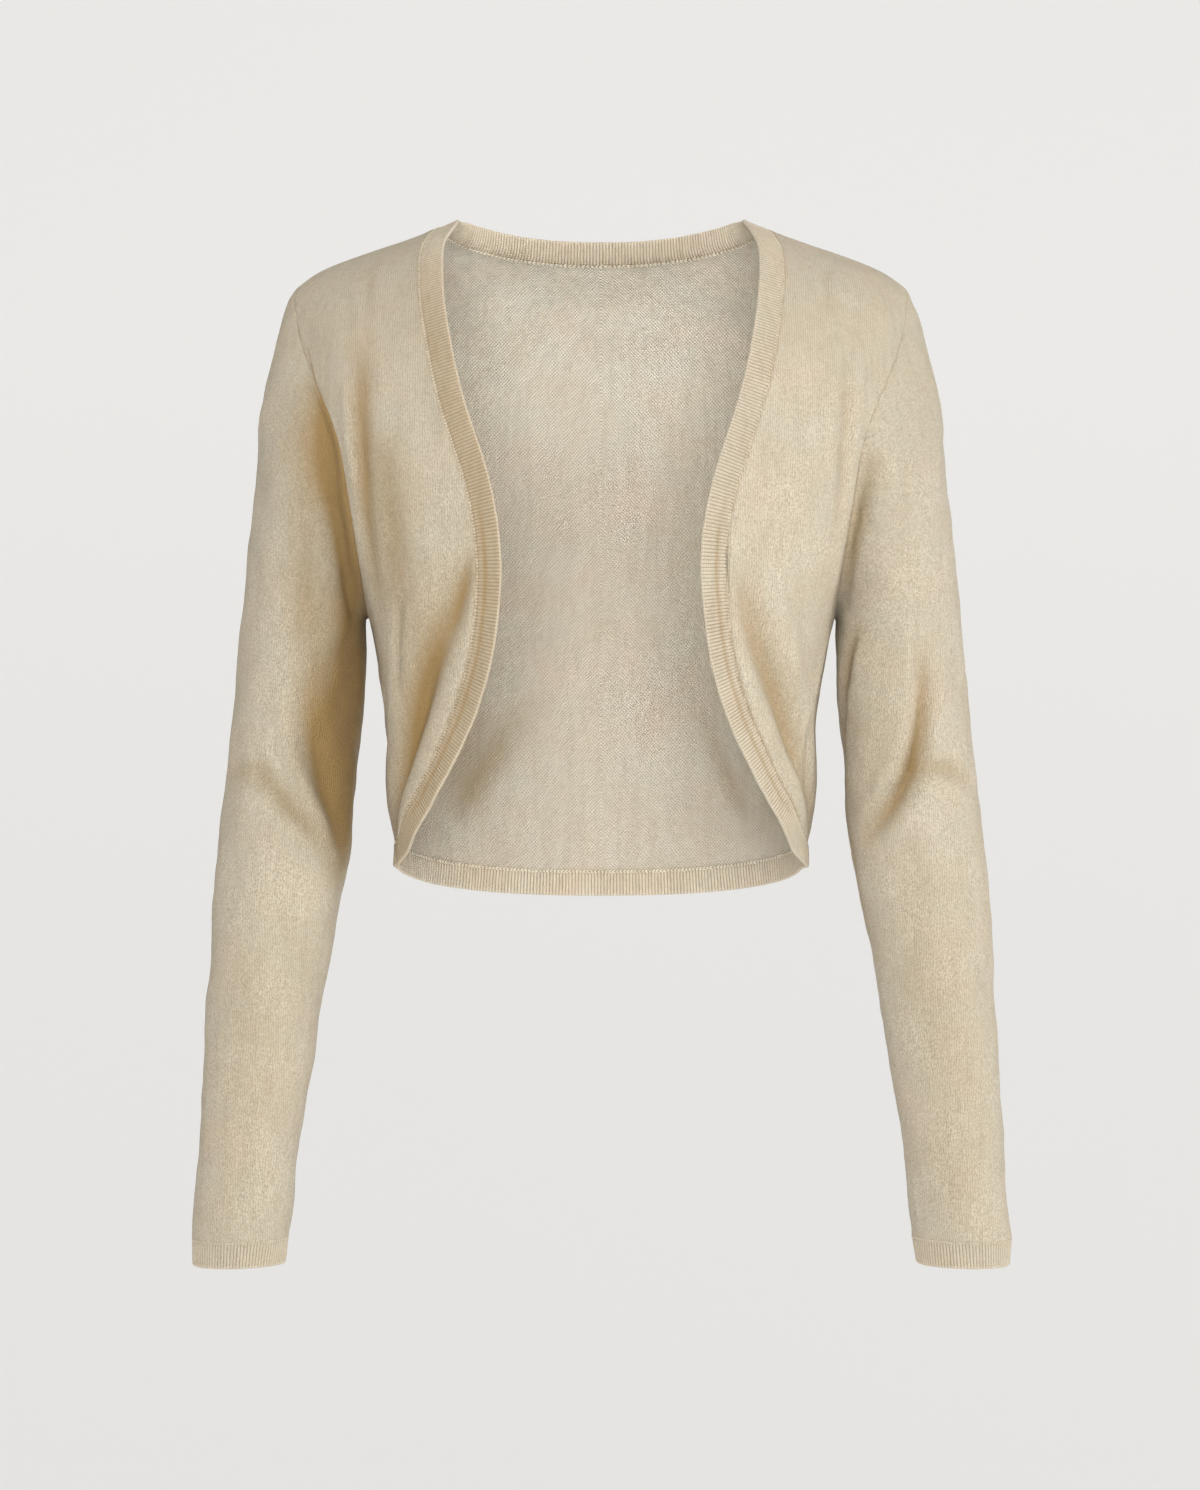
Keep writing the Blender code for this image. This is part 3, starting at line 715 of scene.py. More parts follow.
    @staticmethod
    def ovals(rows: Array, angles: Array) -> Array:
        """Closed ovals across the +X sleeve.

        Args:
            rows: Values in the table's order, one row for each oval.
            angles: Angles round each oval.

        Returns:
            One ring of points for each row.
        """
        outer_x, outer_z, inner_x, inner_z, half_depth, swing = np.asarray(rows, float).T
        none = np.zeros_like(outer_x)
        outer, inner = np.stack([outer_x, none, outer_z], -1), np.stack([inner_x, none, inner_z], -1)
        middle = (outer + inner) / 2 + np.stack([none, swing, none], -1)
        reach, depth = (outer - inner) / 2, np.stack([none, half_depth, none], -1)
        cosines, sines = np.cos(angles)[None, :, None], np.sin(angles)[None, :, None]
        return middle[:, None] + cosines * reach[:, None] - sines * depth[:, None]

    def folded(self, armhole: Array, angles: Array, half: Half) -> Folded:
        """Rings down the +X sleeve.

        Args:
            armhole: The ring of points round the armhole.
            angles: The angle of each point of a ring.
            half: Which sleeve's creases it takes.

        Returns:
            The rings, from the armhole to the cuff's seam.
        """
        dense = np.linspace(0, len(self.rows) - 1, 1401)
        outer = lengths_along(np.stack([self.curves[0](dense), self.curves[1](dense)], -1))
        numbers = np.interp(spaced(self.steps, 0.75, 0.75) * outer[-1], outer, dense)
        table = np.stack([curve(numbers) for curve in self.curves], -1)
        fade = np.clip(1 - numbers / self.cap_rows, 0, 1)[:, None, None]
        from_oval = armhole - self.ovals([self.rows[0]], angles)[0]
        grid = self.ovals(table, angles) + from_oval * fade**2 * (3 - 2 * fade)
        radians = math.radians(1) * self.arm_radius
        own = self.right_creases if half is Half.RIGHT else self.left_creases
        laid = [crease.laid(lambda angle, level: (angle * radians, level)) for crease in own]
        places = np.stack(np.broadcast_arrays(angles * self.arm_radius, grid[..., 2]), axis=-1)
        rise, outside, inside = pressed(places, laid)
        seed = self.seeds[0 if half is Half.RIGHT else 1]
        fields = enumerate(self.unevenness, seed)
        rise += sum(height * ripples(grid, wavelength, number) for number, (height, wavelength) in fields)
        rise *= smooth_step(lengths_along(grid, axis=0) / self.armhole_reach)
        normals = normals_of(grid, grid.mean(axis=1, keepdims=True), wrap=True)
        return Folded(grid + normals * rise[..., None], outside, inside)

    @staticmethod
    def knit_lengths(grid: Array, top: int) -> Array:
        """Lengths of cloth round and up a sleeve, with the knit's join on the inside of the arm.

        Args:
            grid: Rings of points, with the first column repeated at the end.
            top: The column at the outside of the arm.

        Returns:
            Lengths round from the outside of the arm, and up from the cuff.
        """
        round_it = lengths_along(grid, axis=1)
        across = round_it - round_it[:, top : top + 1]
        down = lengths_along(grid, axis=0)
        return np.stack([across, down[-1:] - down], axis=-1)


# ---------------------------------------------------------------- meshes


def plain_mesh(name: str, points: Sequence[Row], faces: Sequence[tuple[int, ...]] = ()) -> bpy.types.Mesh:
    """Starts a mesh.

    Args:
        name: Its name.
        points: Its points.
        faces: The numbers of each face's points.

    Returns:
        The new mesh.
    """
    mesh = bpy.data.meshes.new(name)
    mesh.from_pydata(points, [], faces)
    return mesh


def linked(name: str, data: Any) -> bpy.types.Object:
    """Adds an object to the scene.

    Args:
        name: Its name.
        data: Its mesh, light or camera.

    Returns:
        The new object.
    """
    made = bpy.data.objects.new(name, data)
    bpy.context.scene.collection.objects.link(made)
    return made


def cloth_mesh(
    name: str,
    middle: Array,
    normals: Array,
    thickness: Array,
    lengths: Array,
    finishes: Sequence[bpy.types.Material],
    wrap: bool = False,
) -> bpy.types.Object:
    """A closed thin shell on both sides of a grid of points.

    Args:
        name: The piece's name.
        middle: Rows of points on the middle of the cloth.
        normals: Outward directions at the points.
        thickness: Half the cloth's thickness at the points.
        lengths: Lengths of cloth at the points, which become the UV map. One column longer on a tube.
        finishes: The outside's material, and the inside's if it has its own.
        wrap: True if each row closes on itself.

    Returns:
        The new object, linked to the scene.
    """
    rows, columns = middle.shape[:2]
    wide = columns + 1 if wrap else columns
    padded = np.arange(rows * wide).reshape(rows, wide)
    inside = padded + rows * wide
    corner = (padded[:-1, :-1], padded[:-1, 1:], padded[1:, 1:], padded[1:, :-1])
    outer = np.stack(corner, -1).reshape(-1, 4)
    inner = outer[:, ::-1] + rows * wide
    rims = [
        np.stack([padded[0, 1:], padded[0, :-1], inside[0, :-1], inside[0, 1:]], -1),
        np.stack([padded[-1, :-1], padded[-1, 1:], inside[-1, 1:], inside[-1, :-1]], -1),
    ]
    if not wrap:
        rims.append(np.stack([padded[:-1, 0], padded[1:, 0], inside[1:, 0], inside[:-1, 0]], -1))
        rims.append(np.stack([padded[1:, -1], padded[:-1, -1], inside[:-1, -1], inside[1:, -1]], -1))
    faces = np.concatenate([outer, inner, *rims])
    row, column = np.divmod(np.arange(rows * wide), wide)
    vertex = row * columns + column % columns
    vertex = np.concatenate([vertex, vertex + rows * columns])
    off = normals * thickness[..., None]
    points = np.concatenate([middle + off, middle - off]).reshape(-1, 3)
    corners = points[vertex[outer]]
    facing = np.cross(corners[:, 2] - corners[:, 0], corners[:, 3] - corners[:, 1])
    if (facing * normals.reshape(-1, 3)[vertex[outer[:, 0]]]).sum() < 0:
        faces = faces[:, ::-1]
    mesh = plain_mesh(name, points.tolist(), vertex[faces].tolist())
    for finish in finishes:
        mesh.materials.append(finish)
    if len(finishes) > 1:
        slots = np.zeros(len(faces), np.int32)
        slots[len(outer) : len(outer) + len(inner)] = 1
        mesh.polygons.foreach_set("material_index", slots)
    layer = mesh.uv_layers.new(name="cloth")
    flat = lengths.reshape(-1, 2)[faces.reshape(-1) % (rows * wide)]
    layer.data.foreach_set("uv", flat.astype(np.float32).ravel())
    mesh.shade_smooth()
    mesh.update()
    return linked(name, mesh)


def edge_taper(distance: Array, thin: float = 0.35, reach: float = 0.0009) -> Array:
    """Returns the share of its thickness that the cloth keeps at a distance from its edge."""
    return thin + (1 - thin) * (1 - np.exp(-distance / reach))


def seam_dip(distance: Array, depth: float = 0.0006, reach: float = 0.0009) -> Array:
    """Returns how far a seam pulls the cloth in, at a distance from it."""
    return -depth * np.exp(-((distance / reach) ** 2))


def seam_welt(distance: Array, height: Any, reach: float = 0.0017) -> Array:
    """Returns how far the cloth rolls up beside a seam, at a distance from it."""
    return height * distance / reach * np.exp(1 - distance / reach)


def seam_shade(distance: Array, share: float = 0.75, reach: float = 0.0010) -> Array:
    """Returns how much painted shade the cloth's colour takes in a seam, at a distance from it."""
    return share * np.exp(-((distance / reach) ** 2))


def give_hollows(piece: bpy.types.Object, outside: Array, inside: Array) -> None:
    """Stores the painted shade of a shell from cloth_mesh, which darkens its colour towards a warm shade
    colour.

    Args:
        piece: The shell.
        outside: Values from 0 to 1 at the grid's points, outside.
        inside: The same inside.
    """
    give_attribute(piece.data, "hollow", np.clip(np.concatenate([outside.ravel(), inside.ravel()]), 0, 1))


def give_attribute(mesh: bpy.types.Mesh, name: str, values: Array) -> None:
    """Stores one number or vector for each point of a mesh.

    Args:
        mesh: The mesh.
        name: The attribute's name.
        values: One value for each point.
    """
    kind, key = ("FLOAT_VECTOR", "vector") if values.ndim == 2 else ("FLOAT", "value")
    mesh.attributes.new(name, kind, "POINT").data.foreach_set(key, values.astype(np.float32).ravel())


# ---------------------------------------------------------------- node trees


class NodeSheet:
    """Adds nodes and links to one node tree."""

    def __init__(self, tree: bpy.types.NodeTree) -> None:
        """Takes the tree to add to."""
        self.tree = tree

    def add(self, kind: str, sockets: dict[Any, Any] | None = None, **settings: Any) -> bpy.types.Node:
        """Adds a node.

        Args:
            kind: The node's type.
            sockets: Values or sockets for its inputs, by name or number.
            **settings: Its properties.

        Returns:
            The new node.
        """
        node = self.tree.nodes.new(kind)
        for key, value in settings.items():
            setattr(node, key, value)
        return self.feed_all(node, sockets or {})

    def feed_all(self, node: bpy.types.Node, sockets: dict[Any, Any]) -> bpy.types.Node:
        """Feeds several inputs of a node.

        Args:
            node: The node.
            sockets: Values or sockets for its inputs, by name or number.

        Returns:
            The same node.
        """
        for key, value in sockets.items():
            self.feed(node.inputs[key], value)
        return node

    def feed(self, socket: bpy.types.NodeSocket, value: Any) -> None:
        """Links an input to a socket, or sets it to a plain value.

        Args:
            socket: The input.
            value: The socket or the plain value.
        """
        if isinstance(value, bpy.types.NodeSocket):
            self.tree.links.new(value, socket)
        else:
            socket.default_value = value

    def maths(self, operation: str, *values: Any) -> bpy.types.NodeSocket:
        """Adds a Math node.

        Args:
            operation: What it does.
            *values: Numbers or sockets.

        Returns:
            Its result.
        """
        return self.add("ShaderNodeMath", dict(enumerate(values)), operation=operation).outputs[0]

    def mix(self, share: Any, first: Any, second: Any, blend: str = "MIX") -> bpy.types.NodeSocket:
        """Adds a colour Mix node.

        Args:
            share: How much of the second colour there is.
            first: The first colour.
            second: The second colour.
            blend: How they are blended.

        Returns:
            The mixed colour.
        """
        node = self.add("ShaderNodeMix", {0: share, 6: first, 7: second}, data_type="RGBA", blend_type=blend)
        return node.outputs[2]

    def spread(self, value: Any, low: float, high: float, to_low: float = 0.0, to_high: float = 1.0) -> Any:
        """Returns a value moved smoothly from one range to another."""
        sockets = {0: value, 1: low, 2: high, 3: to_low, 4: to_high}
        return self.add("ShaderNodeMapRange", sockets, interpolation_type="SMOOTHSTEP").outputs[0]

    def noise(self, place: Any, scale: float, detail: float = 2.0, rough: float = 0.5) -> Any:
        """Returns the value of a Noise Texture at place, with its scale in features for each metre."""
        sockets = {"Vector": place, "Scale": scale, "Detail": detail, "Roughness": rough}
        return self.add("ShaderNodeTexNoise", sockets).outputs[0]

    def vector(self, operation: str, sockets: dict[int, Any]) -> bpy.types.NodeSocket:
        """Returns the result of a Vector Math node."""
        return self.add("ShaderNodeVectorMath", sockets, operation=operation).outputs[0]

    def parts(self, vector: Any) -> Any:
        """Returns the sockets of a vector's x, y and z."""
        return self.add("ShaderNodeSeparateXYZ", {0: vector}).outputs

    def joined(self, parts: dict[int, Any]) -> bpy.types.NodeSocket:
        """Returns the vector of the parts given, with 0 for the others."""
        return self.add("ShaderNodeCombineXYZ", parts).outputs[0]

    def stored(self, name: str) -> bpy.types.NodeSocket:
        """Returns the number that a piece stores under a name, for a material."""
        return self.add("ShaderNodeAttribute", attribute_name=name).outputs["Fac"]

    def place(self) -> bpy.types.NodeSocket:
        """Returns the place on the object, for a material."""
        return self.add("ShaderNodeTexCoord").outputs["Object"]

    def bump(self, distance: float, height: Any, **under: Any) -> bpy.types.NodeSocket:
        """Returns the normal after a bump, on top of another bump's where Normal is given."""
        return self.add("ShaderNodeBump", {"Distance": distance, "Height": height, **under}).outputs[0]


def new_group(
    name: str, kind: str, takes: dict[str, tuple[str, Any]], gives: dict[str, str]
) -> tuple[bpy.types.NodeTree, NodeSheet, Any, bpy.types.Node]:
    """Starts a node group with named sockets.

    Args:
        name: The group's name.
        kind: Its tree type.
        takes: Input names, each with its socket type and starting value.
        gives: Output names with their socket types.

    Returns:
        The tree, its sheet, its inputs' sockets and its output node.
    """
    tree = bpy.data.node_groups.new(name, kind)
    for label, (socket_type, value) in takes.items():
        socket = tree.interface.new_socket(label, in_out="INPUT", socket_type=socket_type)
        if value is not None:
            socket.default_value = value
    for label, socket_type in gives.items():
        tree.interface.new_socket(label, in_out="OUTPUT", socket_type=socket_type)
    sheet = NodeSheet(tree)
    return tree, sheet, sheet.add("NodeGroupInput").outputs, sheet.add("NodeGroupOutput")


FLOAT, VECTOR, COLOUR = "NodeSocketFloat", "NodeSocketVector", "NodeSocketColor"
GEOMETRY = "NodeSocketGeometry"


def jersey_face_group() -> bpy.types.NodeTree:
    """Returns the group that draws the jersey's face: upright wales of small V-shaped stitches."""
    takes = {"Lengths": (VECTOR, None), "Wale": (FLOAT, 0.0015), "Course": (FLOAT, 0.0012)}
    gives = {"Height": FLOAT, "Furrow": FLOAT}
    tree, sheet, inputs, out = new_group("jersey_face", "ShaderNodeTree", takes, gives)
    parts = sheet.parts(inputs["Lengths"])
    column = sheet.maths("FRACT", sheet.maths("DIVIDE", parts[0], inputs["Wale"]))
    centred = sheet.maths("ABSOLUTE", sheet.maths("MULTIPLY_ADD", column, 2.0, -1.0))
    crest = sheet.maths("SUBTRACT", 1.0, sheet.maths("POWER", centred, 2.5))
    climb = sheet.maths("MULTIPLY", centred, 0.6)
    row = sheet.maths("ADD", sheet.maths("DIVIDE", parts[1], inputs["Course"]), climb)
    wave = sheet.maths("SINE", sheet.maths("MULTIPLY", sheet.maths("FRACT", row), math.pi))
    height = sheet.maths("MULTIPLY", crest, sheet.maths("MULTIPLY_ADD", wave, 0.35, 0.65))
    worn = sheet.spread(sheet.noise(inputs["Lengths"], 800.0, 0.0), 0.32, 0.62, 0.30, 1.0)
    sheet.feed(out.inputs["Height"], sheet.maths("MULTIPLY", height, worn))
    sheet.feed(out.inputs["Furrow"], sheet.maths("MULTIPLY", sheet.spread(height, 0.70, 0.05), worn))
    return tree


def jersey_reverse_group() -> bpy.types.NodeTree:
    """Returns the group that draws the jersey's reverse: fine slanting rows that mirror about the middle."""
    takes = {"Lengths": (VECTOR, None), "Pitch": (FLOAT, 0.00148), "Cross": (FLOAT, 0.70)}
    gives = {"Height": FLOAT, "Furrow": FLOAT}
    tree, sheet, inputs, out = new_group("jersey_reverse", "ShaderNodeTree", takes, gives)
    parts = sheet.parts(inputs["Lengths"])
    across = sheet.maths("ABSOLUTE", parts[0])
    turn = sheet.maths("DIVIDE", 2 * math.pi * math.sqrt(0.5), inputs["Pitch"])
    waves = []
    for operation in ("ADD", "SUBTRACT"):
        place = sheet.maths(operation, across, sheet.maths("MULTIPLY", parts[1], 0.95))
        waves.append(sheet.maths("SINE", sheet.maths("MULTIPLY", place, turn)))
    crossed = sheet.maths("MULTIPLY_ADD", waves[1], inputs["Cross"], waves[0])
    height = sheet.maths("MULTIPLY_ADD", crossed, 0.37, 0.5)
    sheet.feed(out.inputs["Height"], height)
    sheet.feed(out.inputs["Furrow"], sheet.spread(height, 0.62, 0.12))
    return tree


def yarn_tone_group() -> bpy.types.NodeTree:
    """Returns the group that colours the yarn: cloudy tints, small curling loops, and painted shade in its
    furrows and hollows.
    """
    takes = {
        "Place": (VECTOR, None),
        "Yarn": (COLOUR, (0.6, 0.5, 0.4, 1)),
        "Deep": (COLOUR, (0.4, 0.3, 0.2, 1)),
        "Bright": (COLOUR, (0.8, 0.7, 0.6, 1)),
        # the warm colour of the painted shade in creases, seams and hollows
        "Hollow colour": (COLOUR, (0.300, 0.185, 0.055, 1)),
        "Furrow": (FLOAT, 0.0),
        "Furrow depth": (FLOAT, 0.3),
        "Curl": (FLOAT, 0.5),
        "Hollow": (FLOAT, 0.0),
    }
    gives = {"Colour": COLOUR, "Fuzz": FLOAT}
    tree, sheet, inputs, out = new_group("yarn_tone", "ShaderNodeTree", takes, gives)
    place = inputs["Place"]
    shifted = sheet.vector("ADD", {0: place, 1: (3, 5, 7)})
    # cloudy tints, one cooler and one warmer than the yarn
    cloud = sheet.spread(sheet.noise(place, 34.0, 3.0), 0.35, 0.68)
    cloud = sheet.maths("MULTIPLY", cloud, 0.40)
    cool = sheet.mix(cloud, inputs["Yarn"], (0.975, 1.090, 1.160, 1), "MULTIPLY")
    rosy = sheet.spread(sheet.noise(shifted, 24.0), 0.5, 0.75)
    rosy = sheet.maths("MULTIPLY", rosy, 0.28)
    tinted = sheet.mix(rosy, cool, (1.200, 1.030, 1.040, 1), "MULTIPLY")
    # the loops of the yarn's own curls, darker specks, and streaks along the wales
    loops = sheet.maths("SINE", sheet.maths("MULTIPLY", sheet.noise(place, 330.0, 1.0), 26.0))
    loops = sheet.maths("MULTIPLY_ADD", loops, 0.5, 0.5)
    grain = sheet.noise(shifted, 300.0, 3.0, 0.62)
    streak = sheet.vector("MULTIPLY", {0: shifted, 1: (1, 1, 0.10)})
    streak = sheet.spread(sheet.noise(streak, 230.0), 0.58, 0.36)
    specks = sheet.maths("MULTIPLY_ADD", inputs["Curl"], 0.10, 0.10)
    deep = sheet.maths("MULTIPLY", sheet.spread(grain, 0.54, 0.30), specks)
    deep = sheet.maths("MULTIPLY_ADD", streak, 0.13, deep)
    bright = sheet.maths("MULTIPLY", loops, sheet.maths("MULTIPLY", inputs["Curl"], 0.42))
    # Painted shade: the knit's furrows darken towards Deep, and the stored painted shade darkens towards its
    # own warm colour.
    furrow = sheet.maths("MULTIPLY", inputs["Furrow"], inputs["Furrow depth"])
    hollow = sheet.maths("MULTIPLY", inputs["Hollow"], 0.90)
    toned = tinted
    for share, label in ((deep, "Deep"), (bright, "Bright"), (furrow, "Deep"), (hollow, "Hollow colour")):
        toned = sheet.mix(share, toned, inputs[label])
    sheet.feed(out.inputs["Colour"], toned)
    fuzz = sheet.maths("MULTIPLY_ADD", loops, 0.55, sheet.maths("MULTIPLY", grain, 0.6))
    sheet.feed(out.inputs["Fuzz"], fuzz)
    return tree


def rib_furrow_group() -> bpy.types.NodeTree:
    """Returns the group that finds the furrows between ribs, whose colour takes painted shade, and the
    band's free edge, which takes a painted highlight.
    """
    takes = {
        "Lengths": (VECTOR, None),
        "Pitch": (FLOAT, RIB_PITCH),
        "Width": (FLOAT, BAND_WIDTH),
        "Shift": (FLOAT, 0.0),
    }
    gives = {"Furrow": FLOAT, "Stitch": FLOAT, "Edge": FLOAT}
    tree, sheet, inputs, out = new_group("rib_furrow", "ShaderNodeTree", takes, gives)
    parts = sheet.parts(inputs["Lengths"])
    phase = sheet.maths("ADD", sheet.maths("DIVIDE", parts[0], inputs["Pitch"]), inputs["Shift"])
    phase = sheet.maths("MULTIPLY", phase, math.pi)
    crest = sheet.maths("ABSOLUTE", sheet.maths("SINE", phase))
    sheet.feed(out.inputs["Furrow"], sheet.spread(crest, 0.72, 0.12))
    row = sheet.maths("SINE", sheet.maths("MULTIPLY", parts[1], 2 * math.pi / RIB_STITCH))
    row = sheet.maths("MULTIPLY_ADD", row, 0.5, 0.5)
    sheet.feed(out.inputs["Stitch"], sheet.maths("MULTIPLY", row, crest))
    rim = sheet.maths("SUBTRACT", inputs["Width"], parts[1])
    sheet.feed(out.inputs["Edge"], sheet.spread(rim, 0.0010, 0.0004))
    return tree


@dataclass
class KnitGroups:
    """The node groups that several finishes share."""

    face: bpy.types.NodeTree = field(default_factory=jersey_face_group)
    reverse: bpy.types.NodeTree = field(default_factory=jersey_reverse_group)
    tone: bpy.types.NodeTree = field(default_factory=yarn_tone_group)
    ribs: bpy.types.NodeTree = field(default_factory=rib_furrow_group)


def blank_material(name: str) -> tuple[bpy.types.Material, NodeSheet, bpy.types.Node]:
    """Starts a material.

    Args:
        name: Its name.

    Returns:
        The new material, its sheet and its Principled BSDF.
    """
    material = bpy.data.materials.new(name)
    material.use_nodes = True
    return material, NodeSheet(material.node_tree), material.node_tree.nodes["Principled BSDF"]


@dataclass(frozen=True)
class YarnFinish:
    """What every knit of this garment's yarn shares."""

    yarn: Colour = (0.513, 0.446, 0.338, 1)
    # the specks' colour, which the painted shade in the furrows also takes
    deep: Colour = (0.300, 0.230, 0.162, 1)
    bright: Colour = (0.800, 0.735, 0.605, 1)
    roughness: float = 0.80
    sheen: float = 0.05
    sheen_roughness: float = 0.45
    sheen_tint: Colour = (1.0, 0.90, 0.74, 1)
    specular: float = 0.22
    fuzz: float = 0.00018
    # how dark the painted shade in the knit's furrows is
    furrow_depth: float = 0.60
    curl: float = 0.5

    def dress(
        self, sheet: NodeSheet, shader: bpy.types.Node, groups: KnitGroups, furrow: Any, curl: Any
    ) -> bpy.types.Node:
        """Feeds the shader's colour and sets its plain values.

        Args:
            sheet: The material's sheet.
            shader: Its Principled BSDF.
            groups: The shared groups.
            furrow: Where the knit is deepest, which its colour's painted shade follows, from 0 to 1.
            curl: How far the loops stray out of line, from 0 to 1.

        Returns:
            The tone node, whose Fuzz goes to the bump.
        """
        values = {
            "Place": sheet.place(),
            "Yarn": self.yarn,
            "Deep": self.deep,
            "Bright": self.bright,
            "Furrow": furrow,
            "Furrow depth": self.furrow_depth,
            "Curl": curl,
            # the painted shade that each piece stores under the name hollow
            "Hollow": sheet.stored("hollow"),
        }
        tone = sheet.add("ShaderNodeGroup", values, node_tree=groups.tone)
        rough = sheet.spread(tone.outputs["Fuzz"], 0.3, 0.75, self.roughness + 0.08, self.roughness - 0.14)
        looks = {
            "Base Color": tone.outputs["Colour"],
            "Roughness": rough,
            "Sheen Weight": self.sheen,
            "Sheen Roughness": self.sheen_roughness,
            "Sheen Tint": self.sheen_tint,
            "Specular IOR Level": self.specular,
        }
        sheet.feed_all(shader, looks)
        return tone


@dataclass(frozen=True)
class JerseyFinish(YarnFinish):
    """The fine jersey, from its face or its reverse."""

    side: Knit = Knit.FACE
    wale: float = 0.0015
    course: float = 0.0012
    relief: float = 0.00036
    sway: float = 0.0012  # how far whole groups of stitches stray
    wander: float = 0.0032  # how far single ones do at full curl
    pale: Colour = (0.910, 0.850, 0.735, 1)  # painted light: the reverse's yarn paler up towards the neck
    pale_from: float = -0.210
    pale_to: float = -0.030

    def material(self, groups: KnitGroups) -> bpy.types.Material:
        """Builds the material.

        Args:
            groups: The shared node groups.

        Returns:
            The jersey's material.
        """
        material, sheet, shader = blank_material(f"jersey_{self.side.value}")
        moved = sheet.add("ShaderNodeUVMap", uv_map="cloth").outputs[0]
        place = sheet.place()
        height = sheet.parts(place)[2]
        # The stitches stray least near the neck and more in some patches than in others.
        patches = sheet.spread(sheet.noise(place, 28.0), 0.35, 0.65, 0.55, 1.0)
        below = sheet.spread(height, -0.060, -0.150, 0.22, 1.0)
        curl = sheet.maths("MULTIPLY", sheet.maths("MULTIPLY", patches, below), self.curl)
        for scale, reach, curls in ((110.0, self.sway, False), (250.0, self.wander, True)):
            sockets = {"Vector": place, "Scale": scale, "Detail": 1.0}
            stray = sheet.add("ShaderNodeTexNoise", sockets).outputs["Color"]
            stray = sheet.vector("ADD", {0: stray, 1: (-0.5, -0.5, -0.5)})
            if curls:
                stray = sheet.vector("SCALE", {0: stray, 3: curl})
            moved = sheet.vector("MULTIPLY_ADD", {0: stray, 1: (reach, reach, 0), 2: moved})
        if self.side is Knit.FACE:
            sockets = {"Lengths": moved, "Wale": self.wale, "Course": self.course}
            knit = sheet.add("ShaderNodeGroup", sockets, node_tree=groups.face)
        else:
            knit = sheet.add("ShaderNodeGroup", {"Lengths": moved}, node_tree=groups.reverse)
        tone = self.dress(sheet, shader, groups, knit.outputs["Furrow"], curl)
        # Painted light: the reverse's yarn grows paler from low on the back up towards the neck, where the
        # inside lies in shade.
        if self.side is Knit.REVERSE:
            paler = sheet.spread(height, self.pale_from, self.pale_to)
            sheet.feed(tone.inputs["Yarn"], sheet.mix(paler, self.yarn, self.pale))
        under = sheet.bump(self.relief, knit.outputs["Height"])
        sheet.feed(shader.inputs["Normal"], sheet.bump(self.fuzz, tone.outputs["Fuzz"], Normal=under))
        return material


@dataclass(frozen=True)
class RibFinish(YarnFinish):
    """The rib of the bands and cuffs."""

    yarn: Colour = (0.552, 0.478, 0.366, 1)
    # a lighter copy of the rib's yarn for its inside: painted light
    inner: Colour = (0.700, 0.617, 0.486, 1)
    width: float = BAND_WIDTH
    # the painted highlight along the band's free edge
    edge: Colour = (0.740, 0.665, 0.540, 1)
    furrow_depth: float = 0.75
    curl: float = 0.35
    relief: float = 0.00022

    def material(self, groups: KnitGroups, name: str) -> bpy.types.Material:
        """Builds the material.

        Args:
            groups: The shared node groups.
            name: The material's name.

        Returns:
            The rib's material.
        """
        material, sheet, shader = blank_material(name)
        lengths = sheet.add("ShaderNodeUVMap", uv_map="cloth").outputs[0]
        shift = sheet.stored("rib_shift")
        sockets = {"Lengths": lengths, "Width": self.width, "Shift": shift}
        ribs = sheet.add("ShaderNodeGroup", sockets, node_tree=groups.ribs)
        tone = self.dress(sheet, shader, groups, ribs.outputs["Furrow"], self.curl)
        # Painted light: the inside of the band takes the lighter copy of the yarn.
        inside = sheet.maths("DIVIDE", shift, INSIDE_SHIFT)
        sheet.feed(tone.inputs["Yarn"], sheet.mix(inside, self.yarn, self.inner))
        # Painted highlight: the free edge is mixed towards a paler colour.
        share = sheet.maths("MULTIPLY", ribs.outputs["Edge"], 0.35)
        sheet.feed(shader.inputs["Base Color"], sheet.mix(share, tone.outputs["Colour"], self.edge))
        under = sheet.bump(self.relief, ribs.outputs["Stitch"])
        sheet.feed(shader.inputs["Normal"], sheet.bump(self.fuzz, tone.outputs["Fuzz"], Normal=under))
        return material


@dataclass(frozen=True)
class LinkingFinish(YarnFinish):
    """The single yarn that links the pieces, a little paler than the cloth."""

    name: str = "linking_yarn"
    yarn: Colour = (0.650, 0.570, 0.450, 1)
    curl: float = 0.3
    fuzz: float = 0.00012

    def material(self, groups: KnitGroups) -> bpy.types.Material:
        """Builds the material.

        Args:
            groups: The shared node groups.

        Returns:
            The linking yarn's material.
        """
        material, sheet, shader = blank_material(self.name)
        tone = self.dress(sheet, shader, groups, 0.0, self.curl)
        sheet.feed(shader.inputs["Normal"], sheet.bump(self.fuzz, tone.outputs["Fuzz"]))
        return material


# ---------------------------------------------------------------- geometry nodes


